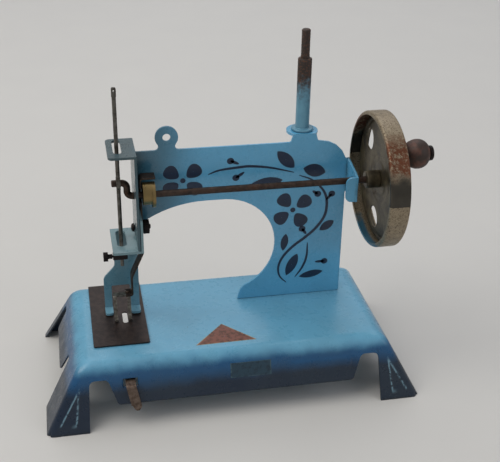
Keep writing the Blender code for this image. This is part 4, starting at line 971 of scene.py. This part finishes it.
# ---------------------------------------------------------------- stencilled flowers
class Shape(Enum):
    """The stencil's shapes: how the outline narrows from one end to the other."""

    PETAL = 0.35
    LEAF = 0.05
    DOT = 0.0


@dataclass
class Stencil:
    """Flowers, leaves and stems sprayed through a stencil on the arm's front."""

    bench: Bench
    steps: int = 40
    lift: float = 0.05 * MM

    def __post_init__(self) -> None:
        """Find the arm's front face and the machine's middle."""
        low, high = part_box("base_pan")
        self.middle = (low.x + high.x) / 2
        self.front = 10.7 * MM - self.lift
        self.points: list = []
        self.faces: list = []
        self.cover: list = []
        self.count = 0

    def put(self, x: np.ndarray, z: np.ndarray, cover: np.ndarray, wrap: bool) -> None:
        """Add one grid of paint, given in millimetres from the machine's middle."""
        grid = np.stack([x * MM + self.middle, np.full_like(x, self.front), z * MM], axis=-1)
        self.faces.append(grid_faces(*x.shape, wrap_columns=wrap) + self.count)
        self.points.append(grid.reshape(-1, 3))
        self.cover.append(cover.ravel())
        self.count += x.size

    def blade(self, x: float, z: float, length: float, width: float, turn: float, shape: Shape) -> None:
        """One petal, leaf or dot.

        Its outline at t is (length / 2 cos t, width / 2 sin t (1 + k cos t)), pinched to a
        point at both ends on a leaf, and it is turned by turn degrees about its centre.
        """
        t = np.linspace(0, 2 * math.pi, self.steps, endpoint=False)
        pinch = np.abs(np.sin(t)) ** 0.6 if shape is Shape.LEAF else 1.0
        u = length / 2 * np.cos(t)
        v = width / 2 * np.sin(t) * (1 + shape.value * np.cos(t)) * pinch
        shares = np.array([1.06, 0.94, 0.5, 0.02])[:, None]
        c, s = math.cos(math.radians(turn)), math.sin(math.radians(turn))
        grid_x = x + shares * (c * u - s * v)
        grid_z = z + shares * (s * u + c * v)
        cover = np.repeat([0.0, 1.0, 1.0, 1.0], self.steps)
        self.put(grid_x, grid_z, cover, True)

    def stem(self, knots: list, width: float) -> None:
        """A ribbon along a smooth line through the knots, tapering to both ends.

        Each stretch is a Catmull-Rom cubic, and the half width goes as the square root of
        the sine of the way along.
        """
        k = np.array(knots, float)
        k = np.vstack([2 * k[0] - k[1], k, 2 * k[-1] - k[-2]])
        t = np.linspace(0, 1, 10, endpoint=False)[:, None]
        line = []
        for a, b, c, d in zip(k, k[1:], k[2:], k[3:]):
            line.append(0.5 * (2 * b + (c - a) * t + (2 * a - 5 * b + 4 * c - d) * t**2
                               + (3 * b - a - 3 * c + d) * t**3))
        line = np.vstack([*line, k[-2][None]])
        along = np.gradient(line, axis=0)
        along /= np.linalg.norm(along, axis=1, keepdims=True)
        across = np.stack([-along[:, 1], along[:, 0]], axis=1)
        half = width / 2 * np.sqrt(np.sin(np.linspace(0.08, math.pi - 0.08, len(line))))
        shares = np.array([-1.3, -0.8, 0.8, 1.3])[:, None, None]
        grid = line[None] + shares * (half[:, None] * across)[None]
        cover = np.repeat([0.0, 1.0, 1.0, 0.0], len(line))
        self.put(grid[..., 0], grid[..., 1], cover, False)

    def flower(self, x: float, z: float, size: float, turns: tuple) -> None:
        """Four petals round a small dot."""
        for turn in turns:
            a = math.radians(turn)
            reach = 0.78 * size
            petal_x = x + reach * math.cos(a)
            petal_z = z + reach * math.sin(a)
            self.blade(petal_x, petal_z, 0.92 * size, 0.78 * size, turn, Shape.PETAL)
        self.blade(x, z, 0.3 * size, 0.3 * size, 0, Shape.DOT)

    def build(self) -> None:
        """Lay out two flowers, their stems, leaves and buds, and make one skin of paint."""
        self.flower(-20.6, 112.4, 9.6, (142, 40, 212, -38))
        self.flower(40.2, 90.2, 9.6, (128, 36, 214, -56))
        self.stem([(-7, 115), (-1, 117), (9, 118), (16, 118.2), (27, 116.6), (40, 113)], 1.3)
        self.stem([(43, 111), (50, 108), (55.5, 103), (58.5, 98), (59.5, 92), (58.5, 85), (54, 78),
                   (48, 72.5), (42, 68), (37, 63), (34, 58), (33, 53), (34.3, 48), (38, 44)], 1.5)
        self.stem([(49.5, 69), (49.3, 60), (47, 53), (43, 47)], 1.2)
        buds = (
            (5, 122, 9.5, 120), (8, 112, 12.5, 115), (54, 99, 51, 101),
            (46, 78, 48.5, 74.5), (60, 56, 54.6, 56), (62, 98.5, 59, 95),
        )
        for bud_x, bud_z, tip_x, tip_z in buds:
            self.blade(bud_x, bud_z, 3.8, 3.6, 0, Shape.DOT)
            halfway = ((bud_x + tip_x) / 2, (bud_z + tip_z) / 2)
            self.stem([(bud_x, bud_z), halfway, (tip_x, tip_z)], 1.5)
        leaves = (
            (24.4, 107.6, 18.5, 6.4, 8), (35.2, 120.8, 13.5, 6.6, -46), (51.4, 113.4, 12.6, 7.4, -14),
            (60.1, 79.0, 9.4, 5.0, 34), (36.1, 70.2, 10.4, 4.2, 82), (40.8, 55.4, 14.4, 5.6, 66),
            (52.4, 48.3, 13.8, 4.4, 10), (17.0, 106.0, 8.0, 3.4, -12),
        )
        for leaf in leaves:
            self.blade(*leaf, Shape.LEAF)
        mesh = bpy.data.meshes.new("stencilled_flowers")
        mesh.from_pydata(np.vstack(self.points).tolist(), [], np.vstack(self.faces).tolist())
        cover = mesh.attributes.new("cover", "FLOAT", "POINT")
        cover.data.foreach_set("value", np.concatenate(self.cover).astype(np.float32))
        work = bmesh.new()
        work.from_mesh(mesh)
        turned = [f for f in work.faces if f.normal.y > 0]
        bmesh.ops.reverse_faces(work, faces=turned)
        work.to_mesh(mesh)
        work.free()
        paint = bpy.data.objects.new("stencilled_flowers", mesh)
        bpy.context.scene.collection.objects.link(paint)
        self.bench.fit(paint, STENCIL, "arm_plate", stands_for=False)


# ---------------------------------------------------------------- arm, head and small parts
@dataclass
class SheetWork:
    """The flat and folded pieces, each with its cut edges rounded over."""

    bench: Bench

    def build(self) -> None:
        """Round and paint every sheet and small turned piece."""
        work = (
            ("arm_plate", "arm_sheet", ARM_ENAMEL, WORN_EDGE, 0.28, 2),
            ("presser_bracket", "presser_sheet", BRACKET_ENAMEL, WORN_EDGE, 0.25, 2),
            ("needle_plate", "needle_plate_sheet", BRONZED, BRONZED, 0.18, 2),
            ("feed_lever", "feed_leaf", SPRING, SPRING, 0.2, 2),
            ("feed_foot", "feed_prongs", TOE_STEEL, TOE_STEEL, 0.15, 2),
            ("feed_cam", "brass_cam", BRASS, BRASS, 0.25, 2),
            ("needle_bar", "needle_rod", BAR_STEEL, BAR_STEEL, 0.12, 2),
            ("needle_clamp", "clamp_block", BLACK_STEEL, BLACK_STEEL, 0.2, 2),
            ("clamp_screw", "clamp_thumb_screw", BLACK_STEEL, BLACK_STEEL, 0.1, 1),
            ("needle_shank", "broken_needle_shank", BAR_STEEL, BAR_STEEL, 0.15, 2),
            ("pivot_screw", "pivot_bolt", BLACK_STEEL, BLACK_STEEL, 0.12, 1),
            ("pivot_nut", "knurled_nut", BLACK_STEEL, BLACK_STEEL, 0.12, 1),
            ("looper_lever", "thumb_lever", THUMB_STEEL, THUMB_STEEL, 0.2, 2),
            ("looper_stud", "looper_rivet", THUMB_STEEL, THUMB_STEEL, 0.15, 1),
            ("looper_hook", "looper_wire", BAR_STEEL, BAR_STEEL, 0.05, 1),
            ("foot_rivet", "prong_rivet", SPRING, SPRING, 0.1, 1),
            ("arm_rivet_left", "left_arm_rivet", ARM_ENAMEL, WORN_EDGE, 0.12, 1),
            ("arm_rivet_right", "right_arm_rivet", ARM_ENAMEL, WORN_EDGE, 0.12, 1),
        )
        for node, name, finish, edge, width, segments in work:
            self.bench.rounded_copy(node, name, finish, edge, width, segments)


@dataclass
class ReelPin:
    """The pin for the cotton reel: seat, shoulder and a thread cut on its thin end."""

    bench: Bench
    radius: float = 3.7 * MM
    thread: float = 2.35 * MM
    thread_length: float = 15.3 * MM
    pitch: float = 0.8 * MM
    depth: float = 0.2 * MM
    tail_radius: float = 2.5 * MM
    seat_radius: float = 6.0 * MM
    seat_rise: float = 3.1 * MM
    ring: float = 1.2 * MM

    def build(self) -> None:
        """Turn the pin; over the thread the radius follows a triangle wave wound as a helix."""
        low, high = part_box("spool_pin")
        centre = ((low.x + high.x) / 2, (low.y + high.y) / 2)
        shoulder = high.z - self.thread_length
        seat = low.z + self.seat_rise
        corners = [
            (0.0, low.z, 0), (3.8 * MM, low.z, 0.4 * MM), (4.0 * MM, low.z + self.ring, 0.2 * MM),
            (self.tail_radius, low.z + self.ring, 0), (self.tail_radius, seat, 0),
            (self.seat_radius, seat, 0.3 * MM), (self.seat_radius, seat + self.ring, 0.5 * MM),
            (self.radius, seat + self.ring, 0.4 * MM),
            (self.radius, shoulder, 0.6 * MM), (self.thread, shoulder, 0.1 * MM),
            (self.thread, shoulder + 0.8 * MM, 0),
        ]
        lower = rounded_profile(corners, 4)
        rows = np.arange(shoulder + 0.9 * MM, high.z - 0.6 * MM, self.pitch / 6)
        screw = np.stack([np.full_like(rows, self.thread), rows], axis=1)
        end = np.array([
            (self.thread - 0.15 * MM, high.z - 0.5 * MM), (self.thread - 0.55 * MM, high.z - 0.05 * MM),
            (self.thread - 0.8 * MM, high.z), (0.0, high.z),
        ])
        profile = np.vstack([lower, screw, end])
        start, stop = rows[0], rows[-1]

        def helix(angle: np.ndarray, radius: np.ndarray, along: np.ndarray) -> np.ndarray:
            """A groove that sinks by a triangle wave of (height / pitch - angle / full turn)."""
            phase = (along / self.pitch - angle / (2 * math.pi)) % 1.0
            run_in = np.clip((along - start) / self.pitch, 0, 1)
            run_out = np.clip((stop - along) / self.pitch, 0, 1)
            return -self.depth * 2 * np.abs(phase - 0.5) * run_in * run_out

        pin = revolve("reel_pin", profile, centre, Axis.Z, 48, helix)
        smooth(pin, 40)
        self.bench.fit(pin, PIN_PAINT, "spool_pin")


# ---------------------------------------------------------------- shaft and hand wheel
@dataclass
class Shaft:
    """The rod with its crank bent at the left end."""

    bench: Bench
    radius: float = 1.8 * MM
    bend: float = 2.7 * MM
    web_offset: float = 4.25 * MM

    def build(self) -> None:
        """Sweep a circle along straight runs joined by quarter bends, ends slightly domed."""
        low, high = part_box("main_shaft")
        shaft_z = self.bench.axis_point("handwheel_turn").z
        pin = self.bench.axis_point("needle_bar_follow")
        web = pin.x + self.web_offset
        quarter = np.linspace(0, math.pi / 2, 9)
        lower_x = web + self.bend - self.bend * np.sin(quarter)
        lower_z = shaft_z + self.bend - self.bend * np.cos(quarter)
        upper_x = web - self.bend + self.bend * np.cos(quarter)
        upper_z = pin.z - self.bend + self.bend * np.sin(quarter)
        straight = np.linspace(high.x, web + self.bend, 60, endpoint=False)
        tail = np.linspace(web - self.bend, low.x, 8)[1:]
        x = np.concatenate([straight, lower_x, upper_x, tail])
        z = np.concatenate([np.full(60, shaft_z), lower_z, upper_z, np.full(7, pin.z)])
        dome = np.array([0.0, 0.06, 0.3]) * MM
        wobble = 0.04 * MM * np.sin(x * 260) * np.cos(x * 97)
        size = np.minimum(self.radius + wobble, self.radius)
        x = np.concatenate([high.x - dome, x[1:-1], low.x + dome[::-1]])
        z = np.concatenate([[shaft_z] * 3, z[1:-1], [pin.z] * 3])
        ends = np.array([1e-6, 0.75, 0.97]) * self.radius
        size = np.concatenate([ends, size[1:-1], ends[::-1]])
        path = np.stack([x, np.zeros_like(x), z], axis=1)
        rod = sweep("cranked_rod", path, size, 28)
        smooth(rod, 50)
        self.bench.fit(rod, SHAFT_STEEL, "main_shaft")


@dataclass
class HandWheel:
    """Rim, windowed web, hub, and the wooden knob on its stem."""

    bench: Bench
    lip: float = 1.2 * MM
    sheet: float = 1.0 * MM
    window_circle: float = 24.7 * MM
    window_radial: float = 11.8 * MM
    window_half_angle: float = 15.0
    window_angles: tuple = (38.5, 158.5, 278.5)
    seam_angle: float = -163.0
    seam_step: float = 0.3 * MM

    def __post_init__(self) -> None:
        """Read the wheel's place and sizes from the frame."""
        self.axle = self.bench.axis_point("handwheel_turn")
        self.low, self.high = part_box("wheel_rim")
        self.radius = (self.high.z - self.low.z) / 2
        self.centre = (self.axle.y, self.axle.z)

    def build_rim(self) -> None:
        """Roll the rim band: crowned, turned in at its left edge, lapped at one seam."""
        left, right, r = self.low.x, self.high.x, self.radius
        inner = r - self.sheet
        outside = rounded_profile([
            (inner, right, 0), (r - 0.1 * MM, right, 0.9 * MM), (r, (left + right) / 2, 60 * MM),
            (r - 0.1 * MM, left, 1.6 * MM), (inner - self.lip, left, 0.3 * MM),
            (inner - self.lip, left + self.sheet, 0.3 * MM), (inner, left + self.sheet, 0.5 * MM),
            (inner, right, 0),
        ], 6)
        seam = math.radians(self.seam_angle)

        def lap(angle: np.ndarray, radius: np.ndarray, along: np.ndarray) -> np.ndarray:
            """The outer end of the strip stands back by seam_step and fades out round the rim."""
            past = (angle - seam) % (2 * math.pi)
            drop = np.exp(-past / 0.5) - np.clip(1 - past / 0.03, 0, 1)
            outer = radius > inner + 0.4 * self.sheet
            return np.where(outer, -self.seam_step * np.clip(drop, 0, 1), 0.0)

        rim = revolve("rolled_rim", outside, self.centre, Axis.X, 420, lap)
        smooth(rim, 32)
        self.bench.fit(rim, RIM_PLATE, "wheel_rim")

    def build_web(self) -> None:
        """Press the web: a disc with concentric steps and a flange, opened by three windows.

        Faces whose middle lies in a window are left out, and the points on the new edge move
        onto the window's outline, where (radial offset, angular offset) has length one.
        """
        low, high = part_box("wheel_web")
        outer = (high.z - low.z) / 2 - self.sheet / 2
        back = low.x + self.sheet / 2
        radii = np.linspace(3.6 * MM, outer - 1.2 * MM, 84)
        step = 0.45 * MM
        face = back + step * (1 / (1 + np.exp(-(radii - 9.5 * MM) / (0.35 * MM))) - 1
                              + 1 / (1 + np.exp(-(13.5 * MM - radii) / (0.35 * MM))))
        face = np.maximum(face, back)
        ring = back + 0.5 * MM * np.exp(-(((radii - 32.5 * MM) / (0.8 * MM)) ** 2))
        face = np.maximum(face, ring)
        turn = np.linspace(0, math.pi / 2, 5)
        curl = outer - 1.2 * MM + 1.2 * MM * np.sin(turn)
        curl_x = back + 1.2 * MM * (1 - np.cos(turn))
        flange = np.linspace(curl_x[-1], high.x, 5)[1:]
        r = np.concatenate([radii, curl[1:], np.full(4, outer)])
        x = np.concatenate([face, curl_x[1:], flange])
        steps = 360
        angle = np.linspace(0, 2 * math.pi, steps, endpoint=False)
        rr = np.broadcast_to(r[:, None], (len(r), steps)).copy()
        aa = np.broadcast_to(angle[None, :], rr.shape).copy()
        xx = np.broadcast_to(x[:, None], rr.shape).copy()
        faces = grid_faces(len(r), steps, wrap_columns=True)
        half = math.radians(self.window_half_angle)
        gone = np.zeros(len(faces), bool)
        for middle in np.radians(self.window_angles):
            u = (rr - self.window_circle) / (self.window_radial / 2)
            v = ((aa - middle + math.pi) % (2 * math.pi) - math.pi) / half
            size = np.hypot(u, v)
            inside = size.ravel()[faces].mean(axis=1) < 1
            gone |= inside
            edge = np.intersect1d(faces[inside].ravel(), faces[~inside].ravel())
            mask = np.zeros(size.size, bool)
            mask[edge] = True
            mask = mask.reshape(size.shape)
            rr = np.where(mask, self.window_circle + u / size * self.window_radial / 2, rr)
            aa = np.where(mask, middle + v / size * half, aa)
        points = np.stack([xx, self.centre[0] + rr * np.cos(aa), self.centre[1] + rr * np.sin(aa)], axis=-1)
        web = mesh_object("pressed_web", points, faces[~gone])
        loose = bmesh.new()
        loose.from_mesh(web.data)
        bmesh.ops.delete(loose, geom=[v for v in loose.verts if not v.link_faces], context="VERTS")
        loose.to_mesh(web.data)
        loose.free()
        thick = web.modifiers.new("sheet", "SOLIDIFY")
        thick.thickness = self.sheet * 0.94
        thick.offset = 0.0
        smooth(web, 40)
        self.bench.fit(web, WEB_NICKEL, "wheel_web")

    def build_hub(self) -> None:
        """Turn the hub with a collar at each side of the web."""
        low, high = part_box("wheel_hub")
        radius = (high.z - low.z) / 2
        bore = 2.1 * MM
        web_low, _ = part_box("wheel_web")
        profile = rounded_profile([
            (bore, low.x, 0), (radius - 0.2 * MM, low.x, 0.7 * MM), (radius, low.x + 3 * MM, 9 * MM),
            (radius, web_low.x - 0.3 * MM, 0.2 * MM), (3.1 * MM, web_low.x - 0.3 * MM, 0),
            (3.1 * MM, web_low.x + 1.3 * MM, 0), (4.4 * MM, web_low.x + 1.3 * MM, 0.1 * MM),
            (4.2 * MM, high.x, 0.4 * MM), (bore, high.x, 0), (bore, low.x, 0),
        ], 4)
        hub = revolve("turned_hub", profile, self.centre, Axis.X, 72)
        smooth(hub, 40)
        self.bench.fit(hub, WEB_NICKEL, "wheel_hub")

    def build_knob(self) -> None:
        """Turn the barrel-shaped knob, with fine tool rings, and its riveted stem."""
        place = self.bench.axis_point("knob_spin")
        centre = (place.y, place.z)
        low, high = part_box("knob")
        radius = (high.z - low.z) / 2
        length = high.x - low.x
        t = np.linspace(0, 1, 60)
        neck = 0.56 + 0.44 * np.sin(np.clip((t + 0.06) / 0.62, 0, 1) * math.pi / 2) ** 1.2
        crown = np.sqrt(np.clip(1 - np.clip((t - 0.5) / 0.56, 0, 1) ** 2.6, 0, 1))
        r = radius * np.minimum(neck, crown)
        r -= 0.05 * MM * (np.abs((t * 14) % 1 - 0.5) < 0.12)
        bore = 2.0 * MM
        ends = np.array([[bore, low.x]]), np.array([[bore, high.x], [bore, low.x]])
        profile = np.vstack([ends[0], np.stack([r, low.x + t * length], axis=1), ends[1]])
        knob = revolve("turned_knob", profile, centre, Axis.X, 96)
        smooth(knob, 45)
        self.bench.fit(knob, WOOD, "knob")
        low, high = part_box("knob_stem")
        cap = (high.z - low.z) / 2
        stem = 1.6 * MM
        cap_left = high.x - 2.1 * MM
        profile = rounded_profile([
            (0.0, low.x, 0), (2.3 * MM, low.x, 0.5 * MM), (2.8 * MM, low.x + 0.9 * MM, 0.2 * MM),
            (stem, low.x + 0.9 * MM, 0), (stem, low.x + 2.8 * MM, 0), (3.0 * MM, low.x + 2.8 * MM, 0.3 * MM),
            (3.0 * MM, place.x - 0.4 * MM, 0.3 * MM), (stem, place.x - 0.4 * MM, 0), (stem, cap_left, 0),
            (cap, cap_left, 0.4 * MM), (cap - 0.1 * MM, high.x - 0.1 * MM, 0.6 * MM), (0.0, high.x, 0),
        ], 4)
        rivet = revolve("knob_rivet", profile, centre, Axis.X, 56)
        smooth(rivet, 40)
        self.bench.fit(rivet, BLACK_STEEL, "knob_stem")

    def build(self) -> None:
        """Build every piece of the wheel."""
        self.build_rim()
        self.build_web()
        self.build_hub()
        self.build_knob()


# ---------------------------------------------------------------- studio
@dataclass
class Studio:
    """Seamless paper, soft light from the upper left, and the camera."""

    middle: float
    eye: tuple = (-0.0784, -0.4445, 0.3239)
    yaw: float = 11.75
    pitch: float = 27.77
    roll: float = 1.09
    lens: float = 68.36

    def paper(self) -> None:
        """Lay the paper: flat under the machine, then curving up behind it on a quarter circle."""
        flat = np.linspace(-1.4, 1.0, 25)
        turn = np.linspace(0, math.pi / 2, 17)[1:]
        y = np.concatenate([flat, 1.0 + 0.9 * np.sin(turn), np.full(6, 1.9)])
        z = np.concatenate([np.zeros(25), 0.9 - 0.9 * np.cos(turn), np.linspace(0.9, 2.4, 7)[1:]])
        x = np.linspace(-2.4, 2.4, 21)
        grid = np.stack(np.broadcast_arrays(x[None, :], y[:, None], z[:, None]), axis=-1)
        sheet = mesh_object("studio_paper", grid, grid_faces(len(y), len(x)))
        smooth(sheet, 60)
        sheet.data.materials.append(Paper("studio_paper").make())

    def lamp(self, name: str, place: tuple, aim: tuple, size: float, power: float, tint: str) -> None:
        """One square area light, aimed at a point."""
        data = bpy.data.lights.new(name, "AREA")
        data.size = size
        data.energy = power
        data.color = linear(tint)[:3]
        lamp = bpy.data.objects.new(name, data)
        lamp.location = place
        lamp.rotation_euler = (Vector(aim) - Vector(place)).to_track_quat("-Z", "Y").to_euler()
        bpy.context.scene.collection.objects.link(lamp)

    def light(self) -> None:
        """A broad key from the upper left, a weak fill from the right, and an even sky."""
        self.lamp("window", (-0.75, -0.15, 1.25), (0, 0, 0.05), 1.1, 10.5, "FFFBF4")
        self.lamp("right_fill", (1.1, -0.9, 0.9), (0, 0, 0.08), 0.9, 3.0, "F3F6FF")
        self.lamp("back_wash", (0.25, 1.05, 1.3), (0.2, 0.75, 0.0), 1.4, 7.5, "F8FAFF")
        world = bpy.data.worlds.new("studio")
        bpy.context.scene.world = world
        world.use_nodes = True
        world.node_tree.nodes["Background"].inputs["Color"].default_value = linear("D9D9DA")
        world.node_tree.nodes["Background"].inputs["Strength"].default_value = 0.55

    def camera(self) -> None:
        """Stand the camera above and to the left of the machine's middle, looking down at it."""
        yaw, pitch, roll = (math.radians(a) for a in (self.yaw, self.pitch, self.roll))
        forward = Vector((math.sin(yaw) * math.cos(pitch), math.cos(yaw) * math.cos(pitch), -math.sin(pitch)))
        right = Vector((math.cos(yaw), -math.sin(yaw), 0.0))
        up = right.cross(forward)
        side = right * math.cos(roll) + up * math.sin(roll)
        top = -right * math.sin(roll) + up * math.cos(roll)
        data = bpy.data.cameras.new("camera")
        data.lens = self.lens
        data.sensor_width = 36.0
        data.clip_start = 0.01
        eye = bpy.data.objects.new("camera", data)
        turn = Matrix((side, top, -forward)).transposed().to_4x4()
        eye.matrix_world = Matrix.Translation(Vector(self.eye) + Vector((self.middle, 0, 0))) @ turn
        bpy.context.scene.collection.objects.link(eye)
        bpy.context.scene.camera = eye

    def build(self) -> None:
        """Set the whole studio up."""
        self.paper()
        self.light()
        self.camera()
        bpy.context.scene.view_settings.view_transform = "Standard"


def main() -> None:
    """Load the frame and build every sub-assembly in order."""
    logging.basicConfig(level=logging.INFO, format="%(message)s")
    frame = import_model()
    bench = Bench(frame)
    pan = Pan(bench)
    pan.build()
    pan.dress()
    SheetWork(bench).build()
    Stencil(bench).build()
    ReelPin(bench).build()
    Shaft(bench).build()
    HandWheel(bench).build()
    Studio(pan.middle).build()


if __name__ == "__main__":
    main()
